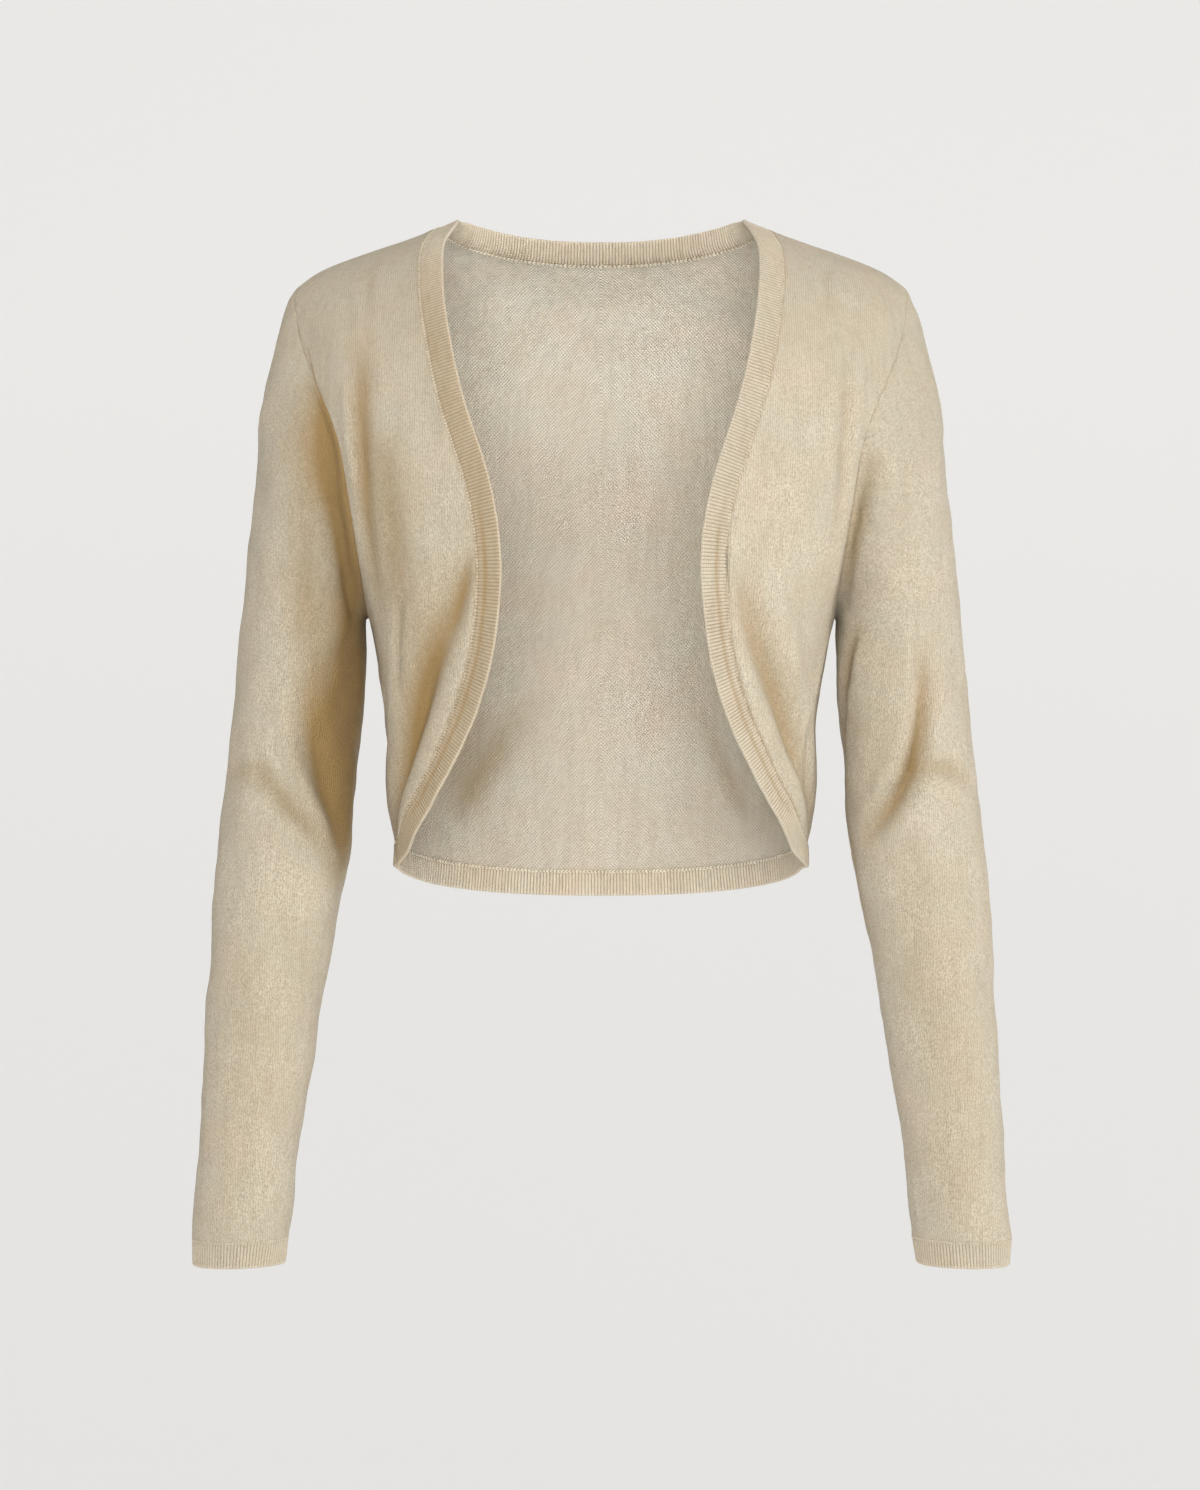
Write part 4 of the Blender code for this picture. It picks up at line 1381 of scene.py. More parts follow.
def finished_tree(
    name: str, takes: dict[str, tuple[str, Any]]
) -> tuple[bpy.types.NodeTree, NodeSheet, Any, bpy.types.NodeSocket]:
    """Starts a geometry tree that ends in Realize Instances and Set Material.

    Args:
        name: The tree's name.
        takes: Its inputs after the geometry.

    Returns:
        The tree, its sheet, its inputs and the socket that its shape goes into.
    """
    takes = {"Geometry": (GEOMETRY, None), **takes, "Finish": ("NodeSocketMaterial", None)}
    tree, sheet, inputs, out = new_group(name, "GeometryNodeTree", takes, {"Geometry": GEOMETRY})
    realized = sheet.add("GeometryNodeRealizeInstances")
    sockets = {"Geometry": realized.outputs[0], "Material": inputs["Finish"]}
    sheet.feed(out.inputs[0], sheet.add("GeometryNodeSetMaterial", sockets).outputs[0])
    return tree, sheet, inputs, realized.inputs[0]


def named(sheet: NodeSheet, name: str, kind: str = "FLOAT_VECTOR") -> bpy.types.NodeSocket:
    """Returns what a piece stores under a name, for a geometry tree."""
    return sheet.add("GeometryNodeInputNamedAttribute", {"Name": name}, data_type=kind).outputs[0]


def rib_tree() -> bpy.types.NodeTree:
    """Returns the tree that raises ribs on a band, from its along, push and shift attributes."""
    takes = {
        "Rib pitch": (FLOAT, RIB_PITCH),
        "Rib height": (FLOAT, 0.0007),
        "Roundness": (FLOAT, RIB_ROUNDNESS),
    }
    tree, sheet, inputs, shape = finished_tree("raised_ribs", takes)
    phase = sheet.maths("DIVIDE", named(sheet, "rib_along", "FLOAT"), inputs["Rib pitch"])
    phase = sheet.maths("ADD", phase, named(sheet, "rib_shift", "FLOAT"))
    crest = sheet.maths("ABSOLUTE", sheet.maths("SINE", sheet.maths("MULTIPLY", phase, math.pi)))
    lift = sheet.maths("SUBTRACT", sheet.maths("POWER", crest, inputs["Roundness"]), 0.5)
    lift = sheet.maths("MULTIPLY", lift, inputs["Rib height"])
    offset = sheet.vector("SCALE", {0: named(sheet, "rib_push"), 3: lift})
    moved = sheet.add("GeometryNodeSetPosition", {"Geometry": inputs["Geometry"], "Offset": offset})
    sheet.feed(shape, moved.outputs[0])
    return tree


def stitch_tree() -> bpy.types.NodeTree:
    """Returns the tree that lays a chain of two-legged stitches on points that know their way and facing."""
    takes = {
        "Stitch length": (FLOAT, 0.0021),
        "Stitch width": (FLOAT, 0.0006),
        "Leg slant": (FLOAT, 0.42),
        "Leg spread": (FLOAT, 0.00042),
        "Unevenness": (FLOAT, 0.12),
        "Seed": ("NodeSocketInt", 5),
    }
    tree, sheet, inputs, shape = finished_tree("linking_chain", takes)
    ball = sheet.add("GeometryNodeMeshUVSphere", {"Segments": 6, "Rings": 5, "Radius": 0.5}).outputs[0]
    size = sheet.joined({0: inputs["Stitch length"], 1: inputs["Stitch width"], 2: inputs["Stitch width"]})
    legs = []
    for side in (1.0, -1.0):
        turn = sheet.joined({2: sheet.maths("MULTIPLY", inputs["Leg slant"], side)})
        off = sheet.joined({1: sheet.maths("MULTIPLY", inputs["Leg spread"], side)})
        sockets = {"Geometry": ball, "Translation": off, "Rotation": turn, "Scale": size}
        legs.append(sheet.add("GeometryNodeTransform", sockets).outputs[0])
    pair = sheet.add("GeometryNodeJoinGeometry")
    for leg in legs:
        sheet.feed(pair.inputs[0], leg)
    smooth = sheet.add("GeometryNodeSetShadeSmooth", {"Geometry": pair.outputs[0]})
    align = "FunctionNodeAlignRotationToVector"
    up = sheet.add(align, {"Vector": named(sheet, "facing")}, axis="Z")
    sockets = {"Rotation": up.outputs[0], "Vector": named(sheet, "heading")}
    way = sheet.add(align, sockets, axis="X", pivot_axis="Z")
    most = sheet.maths("ADD", 1.0, inputs["Unevenness"])
    least = sheet.maths("SUBTRACT", 1.0, inputs["Unevenness"])
    sockets = {2: least, 3: most, "Seed": inputs["Seed"]}
    scale = sheet.add("FunctionNodeRandomValue", sockets, data_type="FLOAT").outputs[1]
    spots = sheet.add("GeometryNodeMeshToPoints", {"Mesh": inputs["Geometry"]})
    sockets = {
        "Points": spots.outputs[0],
        "Instance": smooth.outputs[0],
        "Rotation": way.outputs[0],
        "Scale": scale,
    }
    sheet.feed(shape, sheet.add("GeometryNodeInstanceOnPoints", sockets).outputs[0])
    return tree


def through_nodes(piece: bpy.types.Object, tree: bpy.types.NodeTree, values: dict[str, Any]) -> None:
    """Runs a geometry tree on a piece and gives it the plain mesh that it makes.

    Args:
        piece: The piece.
        tree: The tree.
        values: Values for the tree's named inputs.
    """
    modifier = piece.modifiers.new(tree.name, "NODES")
    modifier.node_group = tree
    for item in tree.interface.items_tree:
        if item.item_type == "SOCKET" and item.in_out == "INPUT" and item.name in values:
            modifier[item.identifier] = values[item.name]
    graph = bpy.context.evaluated_depsgraph_get()
    final = piece.evaluated_get(graph)
    made = bpy.data.meshes.new_from_object(final, preserve_all_data_layers=True, depsgraph=graph)
    piece.modifiers.remove(modifier)
    before, piece.data = piece.data, made
    made.name = piece.name
    bpy.data.meshes.remove(before)


# ---------------------------------------------------------------- sub-assemblies


@dataclass(frozen=True)
class Cut:
    """The flat size that a cloth piece was knitted to."""

    width: float
    length: float
    area: float
    held: str = "hung"


def place_piece(
    piece: bpy.types.Object, node: str
) -> None:
    """Ties a finished cloth piece to the frame.

    Args:
        piece: The piece.
        node: The CAD node that it stands for.
    """
    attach(piece, "root")
    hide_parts(node)
    LOG.info("%s: %d faces, stands for %s", piece.name, len(piece.data.polygons), node)


@dataclass
class JerseyPanels:
    """The back and the two fronts."""

    form: BodyForm
    finishes: Sequence[bpy.types.Material]
    welt_height: float = 0.00035  # of the roll beside a rib
    low_welts: tuple[float, float] = (0.00075, 0.00115)  # what it gains low on the right front and the left
    welt_reach: float = 0.0021
    low_reach: float = 0.0012  # what that gains low on the left front
    back_cut: Cut = Cut(0.430, 0.400, 0.150)
    front_cut: Cut = Cut(0.170, 0.390, 0.040)

    def __post_init__(self) -> None:
        """Works out the panels' mid surfaces."""
        form = self.form
        self.smooth_front, self.smooth_back = form.front_grid(), form.back_grid()
        self.back = form.folded(self.smooth_back, Facing.BEHIND, form.back_creases)
        self.fronts: dict[Half, Folded] = {}
        for half in Half:
            grid = self.smooth_front * (half.value, 1, 1)
            self.fronts[half] = form.folded(grid, Facing.FRONT, form.front_creases)
        last = self.smooth_back.shape[1] - 1
        self.neck = np.arange(form.shoulder_columns, last - form.shoulder_columns + 1)

    def armhole(self, half: Half) -> tuple[Array, Array]:
        """The ring of points round an armhole, mirrored to +X, and the angle of each one.

        Args:
            half: Which armhole.

        Returns:
            The points and their angles, from the shoulder down the front and up the back.
        """
        _, shares = self.form.armhole_levels()
        count = self.form.armhole_steps + 1
        outer = -1 if half is Half.LEFT else 0
        front, back = self.fronts[half].grid, self.back.grid
        ring = np.concatenate([front[:count, -1], back[count - 2 : 0 : -1, outer]])
        angles = np.concatenate([shares * math.pi, 2 * math.pi - shares[-2:0:-1] * math.pi])
        return ring * (half.value, 1, 1), angles

    def edge(self, half: Half) -> tuple[Array, Array]:
        """A front's edge down the opening and along its short hem.

        Args:
            half: Which front.

        Returns:
            The edge's points, and the directions out over it.
        """
        grid, smooth = self.fronts[half].grid, self.smooth_front * (half.value, 1, 1)
        last, columns = len(grid) - 1, self.form.shoulder_columns
        rows = np.r_[np.arange(last + 1), np.full(columns, last)]
        across = np.r_[np.zeros(last + 1, int), np.arange(1, columns + 1)]
        inward = smooth[np.minimum(rows, last - OUT_STEPS), np.maximum(across, OUT_STEPS)]
        return grid[rows, across], edge_out(smooth[rows, across], inward)

    def panel(self, name: str, folded: Folded, beside_rib: Array, lengths: Array) -> bpy.types.Object:
        """Makes one panel.

        Args:
            name: The piece's name.
            folded: Its grid and hollows.
            beside_rib: How far each of its points is from a rib.
            lengths: Its lengths of cloth.

        Returns:
            The panel.
        """
        grid = folded.grid
        down, across = lengths_along(grid, axis=0), lengths_along(grid, axis=1)
        rim = np.minimum.reduce([down, down[-1:] - down, across, across[:, -1:] - across])
        normals = normals_of(grid, grid * (0, 0, 1))
        x, y, z = np.moveaxis(grid, -1, 0)
        low = smooth_step((-0.170 - z) / 0.05) * (y < 0) * smooth_step((z + 0.370) / 0.012)
        height = self.welt_height * smooth_step((z + 0.375) / 0.010)
        height = height + np.where(x > 0, self.low_welts[1], self.low_welts[0]) * low
        reach = self.welt_reach + self.low_reach * low * (x > 0)
        welt = seam_welt(rim, 0.00012) + seam_welt(beside_rib, height, reach)
        welt += seam_dip(rim, 0.00010) + seam_dip(beside_rib, 0.00024)
        thickness = JERSEY_WALL / 2 * edge_taper(rim, 0.70)
        middle = grid + normals * welt[..., None]
        piece = cloth_mesh(name, middle, normals, thickness, lengths, self.finishes)
        # painted shade along the seams and beside the ribs, added to that of the creases
        shade = seam_shade(rim, 0.05) + seam_shade(beside_rib, 0.42, 0.0012)
        give_hollows(piece, folded.outside + shade, folded.inside + shade)
        return piece

    def build(self) -> list[bpy.types.Object]:
        """Returns the back and the fronts, tied to the frame."""
        down = lengths_along(self.back.grid, axis=0)
        beside_rib = down[-1:] - down
        beside_rib[:, self.neck] = np.minimum(beside_rib, down)[:, self.neck]
        lengths = self.form.knit_lengths(self.smooth_back, Facing.BEHIND)
        back = self.panel("back_panel", self.back, beside_rib, lengths)
        place_piece(back, "back")
        made = [back]
        for half, folded in self.fronts.items():
            down, across = lengths_along(folded.grid, axis=0), lengths_along(folded.grid, axis=1)
            beside_rib = np.minimum(across, down[-1:] - down)
            lengths = self.form.knit_lengths(self.smooth_front * (half.value, 1, 1), Facing.FRONT)
            name = half.name.lower()
            piece = self.panel(f"front_panel_{name}", folded, beside_rib, lengths)
            place_piece(piece, f"front_{name}")
            made.append(piece)
        return made


def rib_attributes(piece: bpy.types.Object, along: Array, normals: Array, weight: Array) -> None:
    """Stores what the rib tree reads, for the outside and the inside of a shell.

    Args:
        piece: A shell from cloth_mesh.
        along: Lengths along the band.
        normals: Outward directions.
        weight: How much of its height the rib has.
    """
    push = (normals * weight[..., None]).reshape(-1, 3)
    along = np.broadcast_to(along, weight.shape).ravel()
    give_attribute(piece.data, "rib_along", np.concatenate([along, along]))
    give_attribute(piece.data, "rib_push", np.concatenate([push, -push]))
    give_attribute(piece.data, "rib_shift", np.repeat([0.0, INSIDE_SHIFT], len(along)))


@dataclass
class LinkingYarn:
    """Rows of linking stitches, each a chain of small two-legged loops."""

    material: bpy.types.Material
    paler: bpy.types.Material  # a copy of the yarn painted lighter, for the inside of the bands
    spacing: float = 0.0020
    stitch_length: float = 0.0021
    stitch_width: float = 0.00074
    leg_spread: float = 0.00036

    def __post_init__(self) -> None:
        """Builds the tree that lays the stitches."""
        self.tree = stitch_tree()

    def row(
        self, name: str, line: Array, facing: Array, size: float = 1.0, inside: bool = False
    ) -> bpy.types.Object:
        """Lays one chain.

        Args:
            name: The piece's name.
            line: Points that the chain follows.
            facing: Which way it faces at each point.
            size: Scales the stitches.
            inside: True for a row in the copy of the yarn painted lighter.

        Returns:
            The chain, tied to the frame.
        """
        along = lengths_along(line)
        count = int(round(along[-1] / (self.spacing * size)))
        places = np.linspace(0, along[-1], count + 1)[:-1] + along[-1] / count / 2
        spots, faces = (at_places(v, along, places) for v in (line, facing))
        mesh = plain_mesh(name, spots.tolist())
        give_attribute(mesh, "facing", unit(faces))
        give_attribute(mesh, "heading", unit(np.gradient(spots, axis=0)))
        piece = linked(name, mesh)
        values = {
            "Stitch length": self.stitch_length * size,
            "Stitch width": self.stitch_width * size,
            "Leg slant": 0.36,
            "Leg spread": self.leg_spread * size,
            "Unevenness": 0.20,
            "Seed": 5,
            "Finish": self.paler if inside else self.material,
        }
        through_nodes(piece, self.tree, values)
        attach(piece, "root")
        LOG.info("%s: %d stitches", name, count)
        return piece


@dataclass
class Sleeves:
    """Both sleeves with their cuffs."""

    form: SleeveForm
    panels: JerseyPanels
    finishes: Sequence[bpy.types.Material]
    rib: bpy.types.Material
    ribs: bpy.types.NodeTree
    linking: LinkingYarn
    sleeve_cut: Cut = Cut(0.330, 0.580, 0.140)
    cuff_cut: Cut = Cut(0.176, 0.016, 0.0028)
    cuff_dip: float = 0.0006  # how far the cuff lies inside the sleeve's line
    rib_height: float = 0.00070
    chain_lift: float = 0.00055  # how far the stitches stand off the seam
    chain_size: float = 0.8
    # share of the cuff's height at each of its rings
    rings: Row = (0, 0.04, 0.10, 0.2, 0.32, 0.45, 0.6, 0.74, 0.86, 0.93, 0.975, 1.0)
    # share of the height, height of the ribs as a share
    weights: Sequence[Row] = ((0, 0.0), (0.06, 0.5), (0.14, 1.0), (0.93, 0.8), (1.0, 0.25))
    # share of the height, half thickness as a share
    walls: Sequence[Row] = ((0, 0.35), (0.05, 0.8), (0.12, 1.0), (0.93, 1.0), (0.975, 0.75), (1, 0.35))

    def cuff(self, half: Half, seam: Array, angles: Array) -> tuple[bpy.types.Object, bpy.types.Object]:
        """A cuff of upright ribs.

        Args:
            half: Which sleeve it ends.
            seam: The sleeve's last ring.
            angles: The angle of each of its points.

        Returns:
            The cuff and the row of stitches that links it.
        """
        sign, side = (half.value, 1, 1), half.name.lower()
        closed, turns = np.concatenate([seam, seam[:1]]), np.concatenate([angles, [2 * math.pi]])
        along = lengths_along(closed)
        count = RIB_COLUMNS * int(round(along[-1] / RIB_PITCH))
        places = np.linspace(0, along[-1], count, endpoint=False)
        top = at_places(closed, along, places)
        end = self.form.ovals([self.form.cuff_end], np.interp(places, along, turns))[0] * sign
        tall = float(np.linalg.norm(end - top, axis=-1).mean())
        shares = np.array(self.rings)
        grid = top + (end - top) * shares[:, None, None]
        normals = normals_of(grid, grid.mean(axis=1, keepdims=True), wrap=True)
        middle = grid - normals * (self.cuff_dip * smooth_step(shares / 0.12))[:, None, None]
        weight, wall = (np.interp(shares, *zip(*table)) for table in (self.weights, self.walls))
        thick = np.broadcast_to((RIB_WALL * 0.42 * wall)[:, None], grid.shape[:2])
        pitch = along[-1] / (count / RIB_COLUMNS)
        wide = np.linspace(0, along[-1], count + 1) * RIB_PITCH / pitch
        lengths = np.stack(np.broadcast_arrays(wide, shares[:, None] * tall), -1)
        piece = cloth_mesh(f"cuff_rib_{side}", middle, normals, thick, lengths, [self.rib], wrap=True)
        rib_attributes(piece, wide[:-1], normals, np.broadcast_to(weight[:, None], grid.shape[:2]))
        # painted shade at the cuff's seam
        shade = np.broadcast_to(seam_shade(shares * tall, 0.25)[:, None], grid.shape[:2])
        give_hollows(piece, shade, shade)
        through_nodes(piece, self.ribs, {"Rib height": self.rib_height, "Finish": self.rib})
        line = top + normals[0] * self.chain_lift
        line, facing = (np.concatenate([v, v[:1]]) for v in (line, normals[0]))
        return piece, self.linking.row(f"cuff_linking_{side}", line, facing, self.chain_size)

    def build(self) -> list[bpy.types.Object]:
        """Returns the sleeves, cuffs and their linking rows, tied to the frame."""
        made = []
        for half in Half:
            sign, name = (half.value, 1, 1), half.name.lower()
            ring, angles = self.panels.armhole(half)
            folded = self.form.folded(ring, angles, half)
            grid = folded.grid * sign
            normals = normals_of(grid, grid.mean(axis=1, keepdims=True), wrap=True)
            down = lengths_along(grid, axis=0)
            rim = np.minimum(down, down[-1:] - down)
            middle = grid + normals * (seam_welt(rim, 0.00012) + seam_dip(rim, 0.00015))[..., None]
            top = int(np.argmin(np.abs(angles - math.pi)))
            turned, arm_normals = np.roll(middle, -top, axis=1), np.roll(normals, -top, axis=1)
            closed = np.concatenate([turned, turned[:, :1]], axis=1)
            outside = int(np.argmin(np.abs(np.roll(angles, -top))))
            lengths = self.form.knit_lengths(closed, outside)
            thickness = JERSEY_WALL / 2 * np.roll(edge_taper(rim, 0.70), -top, axis=1)
            piece = cloth_mesh(
                f"sleeve_cloth_{name}", turned, arm_normals, thickness, lengths, self.finishes, wrap=True
            )
            # painted shade at the sleeve's seams
            shade = seam_shade(rim, 0.12)
            give_hollows(piece, *(np.roll(v + shade, -top, axis=1) for v in (folded.outside, folded.inside)))
            place_piece(piece, f"sleeve_{name}")
            cuff, row = self.cuff(half, grid[-1], angles)
            place_piece(cuff, f"cuff_{name}")
            made += [piece, cuff, row]
        return made


def edge_out(edge: Array, inside: Array) -> Array:
    """Directions out over an edge, square to it and in the plane of the cloth.

    Args:
        edge: Points along the edge.
        inside: Points of the cloth inside it.

    Returns:
        One direction for each point.
    """
    along = unit(np.gradient(edge, axis=0))
    out = edge - inside
    return unit(out - (out * along).sum(-1, keepdims=True) * along)


def evened(vectors: Array, along: Array, reach: float) -> Array:
    """Directions averaged with their neighbours along a line.

    Args:
        vectors: Directions.
        along: How far along the line each one is.
        reach: How far the average reaches.

    Returns:
        The smoother directions.
    """
    weights = np.exp(-(((along[:, None] - along[None, :]) / reach) ** 2))
    weights *= np.gradient(along)[None, :]
    return unit(weights @ vectors)


@dataclass
class RibBands:
    """The one strip round the fronts and neck, and the strip on the back's hem."""

    panels: JerseyPanels
    rib: bpy.types.Material
    ribs: bpy.types.NodeTree
    linking: LinkingYarn
    upright: float = 0.25  # how far the nape's band leans out as it turns up
    turn_share: float = 0.5  # share of its width over which it does
    corner_reach: float = 0.018  # how far from the shoulders' top the band still lies along their slope
    corner_rise: float = 0.42
    even_reach: float = 0.006  # how far along the band its directions are averaged
    walk_steps: int = 60  # steps across the band that its shape is worked out in
    rib_height: float = 0.00076
    groove: Row = (0.0058, 0.0009, 0.00110)  # place, half width and depth of the groove along the fronts
    chain_lift: float = 0.00060  # how far the outer stitches stand off the seam
    band_cut: Cut = Cut(0.0150, 1.180, 0.0177)
    hem_cut: Cut = Cut(0.0150, 0.320, 0.0048)
    # distance from the seam, half thickness as a share, height of the ribs as a share
    profile: Sequence[Row] = (
        (0.0000, 0.35, 0.00),
        (0.0005, 0.72, 0.35),
        (0.0014, 0.97, 0.95),
        (0.0030, 1.00, 1.00),
        (0.0052, 1.00, 1.00),
        (0.0074, 1.00, 1.00),
        (0.0090, 0.98, 1.00),
        (0.0106, 1.00, 1.00),
        (0.0126, 1.00, 0.95),
        (0.0137, 1.05, 0.45),
        (0.0144, 0.95, 0.12),
        (0.0148, 0.66, 0.00),
        (0.0150, 0.26, 0.00),
    )

    def strip(
        self, name: str, line: Array, across: Array, lift: Array, front: Array
    ) -> tuple[bpy.types.Object, Array, Array]:
        """One ribbed strip.

        Args:
            name: The piece's name.
            line: Points along its seam.
            across: Directions in which it leaves the seam.
            lift: Directions that it turns to.
            front: A direction that its outside faces at the middle of the line.

        Returns:
            The strip, its seam's points and the outward directions along its seam.
        """
        along = lengths_along(line)
        pitch_count = int(round(along[-1] / RIB_PITCH))
        places = np.linspace(0, along[-1], pitch_count * RIB_COLUMNS + 1)
        seam = at_places(line, along, places)
        out, up = (unit(at_places(evened(v, along, self.even_reach), along, places)) for v in (across, lift))
        # The strip leaves the seam one way and turns to the other as it goes.
        fine = np.linspace(0, BAND_WIDTH, self.walk_steps + 1)
        turn = np.clip(fine / BAND_WIDTH / self.turn_share, 0, 1)[:, None, None]
        headings = unit(out * (1 - turn) + up * turn)
        walked = np.cumsum(headings[:-1], axis=0) * (fine[1] - fine[0])
        walked = np.concatenate([np.zeros((1, *seam.shape)), walked])
        far, wall, tall = np.array(self.profile).T[..., None]
        index = np.interp(far[:, 0], fine, np.arange(self.walk_steps + 1))
        low = np.minimum(index.astype(int), self.walk_steps - 1)
        rest = (index - low)[:, None, None]
        grid = seam + walked[low] * (1 - rest) + walked[low + 1] * rest
        normals = unit(np.cross(np.gradient(grid, axis=1), np.gradient(grid, axis=0)))
        if (normals[:, len(seam) // 2] @ front).mean() < 0:
            normals = -normals
        # The ribs are flatter at the shoulders' top and the foot of the fronts, and fuller round the nape.
        x, y, z = seam.T
        soft = 1 - 0.60 * np.exp(-(((z + 0.008) / 0.012) ** 2)) * smooth_step((0.012 - y) / 0.012)
        soft = soft * (1 - 0.65 * smooth_step((-0.350 - z) / 0.02) * (y < 0))
        soft = soft * (1 + 0.16 * ripples(seam, 0.030, 41))
        weight = tall * soft * (1 + 0.45 * smooth_step(y / 0.02) * (z > -0.1))
        # Below the bust a groove runs along the fronts' band, and the ribs fade between it and the seam. The
        # groove also takes painted shade.
        low = smooth_step((-0.170 - z) / 0.04) * smooth_step((z + 0.362) / 0.02) * (y < 0)
        middle, half_width, depth = self.groove
        groove = np.exp(-(((far - middle) / half_width) ** 2)) * (0.12 + low * np.where(x > 0, 0.88, 0.65))
        weight = weight * (1 - 0.55 * low * smooth_step((0.0068 - far) / 0.0020))
        sway = 0.00025 * ripples(grid, 0.040, 43) * smooth_step(far / 0.004)
        dip = seam_dip(far, 0.00024) - depth * groove
        scale = RIB_PITCH * pitch_count / along[-1]
        lengths = np.stack(np.broadcast_arrays(places * scale, far), -1)
        thickness = np.broadcast_to(RIB_WALL / 2 * wall, grid.shape[:2])
        moved = grid + normals * (sway + dip)[..., None]
        piece = cloth_mesh(name, moved, normals, thickness, lengths, [self.rib])
        rib_attributes(piece, places * scale, normals, weight)
        # Painted shade darkens the -X front's band below the neck, standing in for its turn away from the
        # light; its seam and groove get painted shade too.
        away = 0.38 * smooth_step((-0.010 - z) / 0.080) * (x < 0) * (y < 0)
        shade = seam_shade(far, 0.45) + away
        give_hollows(piece, shade + 0.8 * groove, shade)
        through_nodes(piece, self.ribs, {"Rib height": self.rib_height, "Finish": self.rib})
        return piece, seam, normals[0]

    def chains(
        self, name: str, seam: Array, facing: Array, inner_lift: float, inner_size: float
    ) -> list[bpy.types.Object]:
        """Lays a row of stitches on each side of a strip's seam.

        Args:
            name: How the rows' names start.
            seam: The seam's points.
            facing: Outward directions along it.
            inner_lift: How far the inner row stands off the seam.
            inner_size: Scales the inner row's stitches.

        Returns:
            The outer row and the inner one.
        """
        outer = self.linking.row(f"{name}_linking_outside", seam + facing * self.chain_lift, facing)
        line = seam - facing * inner_lift
        return [outer, self.linking.row(f"{name}_linking_inside", line, -facing, inner_size, inside=True)]

    def build(self) -> list[bpy.types.Object]:
        """Returns the bands and their linking rows, tied to the frame."""
        back, neck = self.panels.back.grid, self.panels.neck
        behind = np.array([0.0, 1.0, 0.0])
        # the hem's strip, which spreads a little at the side seams
        hem_across = edge_out(back[-1], back[-OUT_STEPS])
        round_hem = lengths_along(back[-1])
        near = np.exp(-((np.minimum(round_hem, round_hem[-1] - round_hem) / 0.014) ** 2))[:, None]
        hem_across = unit(hem_across + near * np.sign(back[-1][:, :1]) * (0.22, 0, 0))
        hem, hem_seam, hem_facing = self.strip("hem_rib", back[-1], hem_across, hem_across, behind)
        # the long strip, up one front, round the nape and down the other
        right, right_out = self.panels.edge(Half.RIGHT)
        left, left_out = self.panels.edge(Half.LEFT)
        nape = back[0, neck]
        nape_out = edge_out(nape, back[6, neck])
        line = np.concatenate([right[::-1], nape[1:-1], left])
        across = np.concatenate([right_out[::-1], nape_out[1:-1], left_out])
        across[0], across[-1] = (unit(back[-1, column] - back[-4, column]) for column in (0, -1))
        # It stands up round the nape, and lies along the slope at the shoulders' top.
        rear = np.clip(line[:, 1:2] / 0.03, 0, 1)
        raised = unit(across * self.upright + np.array([0, 0, 1]))
        lift = unit(across * (1 - rear) + raised * rear)
        side = np.sign(line[:, :1])
        neck_x, neck_z = self.panels.form.ridge[1]
        corners = side * (neck_x, 0, 0) + (0, 0, neck_z)
        near = np.exp(-((np.linalg.norm(line - corners, axis=1, keepdims=True) / self.corner_reach) ** 2))
        top = unit(side * (-1, 0, 0) + (0, 0, self.corner_rise))
        across, lift = (unit(v * (1 - near) + top * near) for v in (across, lift))
        band, seam, facing = self.strip("front_neck_rib", line, across, lift, behind)
        chains = self.chains("front_neck", seam, facing, 0.00150, 1.4)
        hem_chains = self.chains("hem", hem_seam, hem_facing, 0.00120, 1.15)
        place_piece(band, "front_neck_band")
        place_piece(hem, "hem_band")
        return [band, hem, *chains, *hem_chains]


# ---------------------------------------------------------------- studio


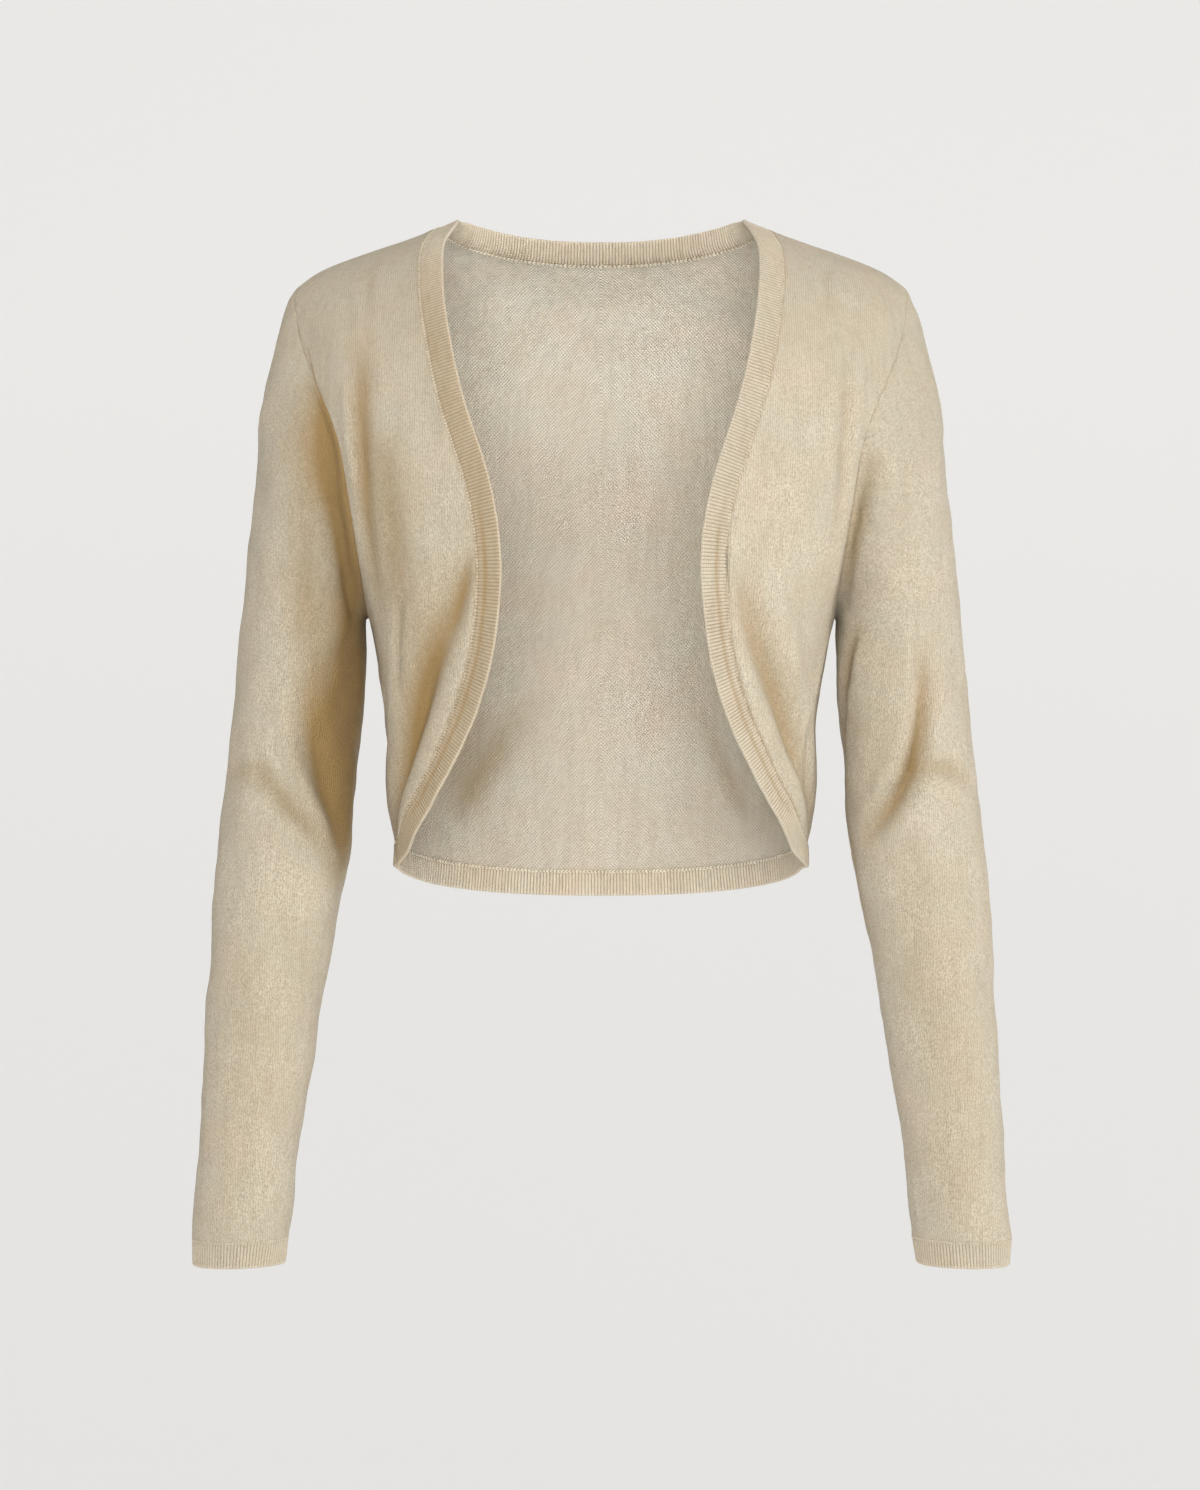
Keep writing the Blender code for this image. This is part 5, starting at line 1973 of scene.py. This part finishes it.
@dataclass
class Studio:
    """A plain pale floor that curves up behind, soft lights and the camera."""

    floor_z: float = -1.15
    floor_start: float = -6.0
    floor_end: float = 2.2
    sweep: float = 1.4  # radius of the curve between the floor and the backdrop
    sweep_steps: int = 12
    backdrop_top: float = 5.0
    half_width: float = 7.0
    wall_radius: float = 9.0
    wall_foot: float = -2.15
    wall_top: float = 7.0
    wall_sides: int = 64
    wall_strength: float = 0.9
    paper: Colour = (0.30, 0.298, 0.293, 1)
    glow: Colour = (0.783, 0.775, 0.761, 1)
    glow_strength: float = 0.78
    camera_place: Row = (-0.00061, -2.6, -0.31903)
    sensor: float = 36.0
    picture_tall: float = 0.9089  # how much of the plane y = 0 the picture takes in from top to bottom
    aim: Row = (0.0, 0.0, -0.3)
    # name, place, length of the sides, watts, tint
    lights: Sequence[tuple[str, Row, float, float, Row]] = (
        ("front_light", (0.0, -3.2, -0.1), 1.6, 57.0, (1.0, 0.980, 0.950)),
        ("high_light", (0.0, -2.8, 1.6), 1.6, 45.0, (1.0, 0.980, 0.950)),
        ("right_light", (3.2, -0.6, 0.2), 1.6, 61.0, (1.0, 0.995, 0.990)),
        ("left_light", (-3.2, -0.6, 0.2), 1.6, 19.0, (1.0, 0.980, 0.950)),
        ("top_light", (0.0, -0.2, 2.4), 1.8, 23.0, (1.0, 0.99, 0.98)),
    )

    def staged(self, name: str, mesh: bpy.types.Mesh, paper: Colour, strength: float) -> bpy.types.Object:
        """Gives a part of the studio its matt glowing paper and adds it to the scene.

        Args:
            name: Its name.
            mesh: Its mesh.
            paper: The paper's colour under the lights.
            strength: How strongly it glows.

        Returns:
            The part.
        """
        material, sheet, shader = blank_material(name)
        looks = {
            "Base Color": paper,
            "Roughness": 0.95,
            "Specular IOR Level": 0.0,
            "Emission Color": self.glow,
            "Emission Strength": strength,
        }
        sheet.feed_all(shader, looks)
        mesh.materials.append(material)
        part = linked(name, mesh)
        return part

    def backdrop(self) -> None:
        """Builds the floor and backdrop as one swept sheet."""
        profile = [(self.floor_start, self.floor_z), (self.floor_end, self.floor_z)]
        for step in range(1, self.sweep_steps + 1):
            angle = step / self.sweep_steps * math.pi / 2
            y = self.floor_end + self.sweep * math.sin(angle)
            profile.append((y, self.floor_z + self.sweep * (1 - math.cos(angle))))
        profile.append((self.floor_end + self.sweep, self.backdrop_top))
        points = [(x, y, z) for y, z in profile for x in (-self.half_width, self.half_width)]
        faces = [(2 * i, 2 * i + 1, 2 * i + 3, 2 * i + 2) for i in range(len(profile) - 1)]
        mesh = plain_mesh("studio_floor", points, faces)
        mesh.shade_smooth()
        self.staged("studio_floor", mesh, self.paper, self.glow_strength)

    def surround(self) -> None:
        """Builds a pale round wall beyond the floor, seen only from other sides and giving no light."""
        count = self.wall_sides
        turns = np.linspace(0, 2 * math.pi, count, endpoint=False)
        ring = (np.stack([np.cos(turns), np.sin(turns)], axis=-1) * self.wall_radius).tolist()
        points = [(x, y, z) for z in (self.wall_foot, self.wall_top) for x, y in ring]
        faces = [(i, (i + 1) % count, (i + 1) % count + count, i + count) for i in range(count)]
        mesh = plain_mesh("studio_wall", points, faces)
        wall = self.staged("studio_wall", mesh, (0, 0, 0, 1), self.wall_strength)
        wall.visible_diffuse = wall.visible_glossy = wall.visible_transmission = wall.visible_shadow = False

    def light(self, name: str, place: Row, size: float, power: float, tint: Row) -> None:
        """Adds one soft square light.

        Args:
            name: Its name.
            place: Where it stands.
            size: The length of its sides.
            power: Its power in watts.
            tint: Its colour.
        """
        data = bpy.data.lights.new(name, "AREA")
        data.shape, data.size, data.energy, data.color = "SQUARE", size, power, tint
        lamp = linked(name, data)
        lamp.visible_camera = False
        lamp.location = place
        lamp.rotation_euler = (Vector(self.aim) - Vector(place)).to_track_quat("-Z", "Y").to_euler()

    def build(self) -> None:
        """Builds the floor, the wall round it, the lights, the dark air beyond and the camera."""
        self.backdrop()
        self.surround()
        for row in self.lights:
            self.light(*row)
        world = bpy.data.worlds.new("studio_air")
        world.use_nodes = True
        world.node_tree.nodes["Background"].inputs["Strength"].default_value = 0.0
        scene = bpy.context.scene
        scene.world = world
        scene.view_settings.view_transform = "Standard"
        data = bpy.data.cameras.new("camera")
        data.sensor_width = self.sensor
        data.lens = self.sensor * -self.camera_place[1] / self.picture_tall
        data.clip_start, data.clip_end = 0.05, 50.0
        camera = linked("camera", data)
        camera.location = self.camera_place
        camera.rotation_euler = (math.pi / 2, 0.0, 0.0)
        scene.camera = camera
        LOG.info("studio: floor, wall, %d lights and the camera", len(self.lights))


def main() -> None:
    """Builds the cardigan and the studio, one class at a time."""
    logging.basicConfig(level=logging.INFO, format="%(name)s: %(message)s")
    groups = KnitGroups()
    face = JerseyFinish(curl=1.0)
    # The reverse's yarn is cooler than the face, as that side of the knit looks, and painted lighter to
    # stand in for light inside the garment.
    yarn, deep = (0.648, 0.591, 0.493, 1), (0.380, 0.308, 0.222, 1)
    reverse = JerseyFinish(side=Knit.REVERSE, yarn=yarn, deep=deep, curl=0.42, relief=0.00040)
    jersey = [finish.material(groups) for finish in (face, reverse)]
    rib = RibFinish().material(groups, "rib_knit")
    # a copy of the linking yarn painted lighter, for the rows inside the bands
    paler = LinkingFinish(name="linking_yarn_inside", yarn=(0.840, 0.775, 0.650, 1))
    linking = LinkingYarn(LinkingFinish().material(groups), paler.material(groups))
    ribs = rib_tree()
    panels = JerseyPanels(BodyForm(), jersey)
    pieces = panels.build()
    pieces += Sleeves(SleeveForm(), panels, jersey, rib, ribs, linking).build()
    pieces += RibBands(panels, rib, ribs, linking).build()
    LOG.info("%d pieces, %d faces", len(pieces), sum(len(piece.data.polygons) for piece in pieces))
    Studio().build()


if __name__ == "__main__":
    main()
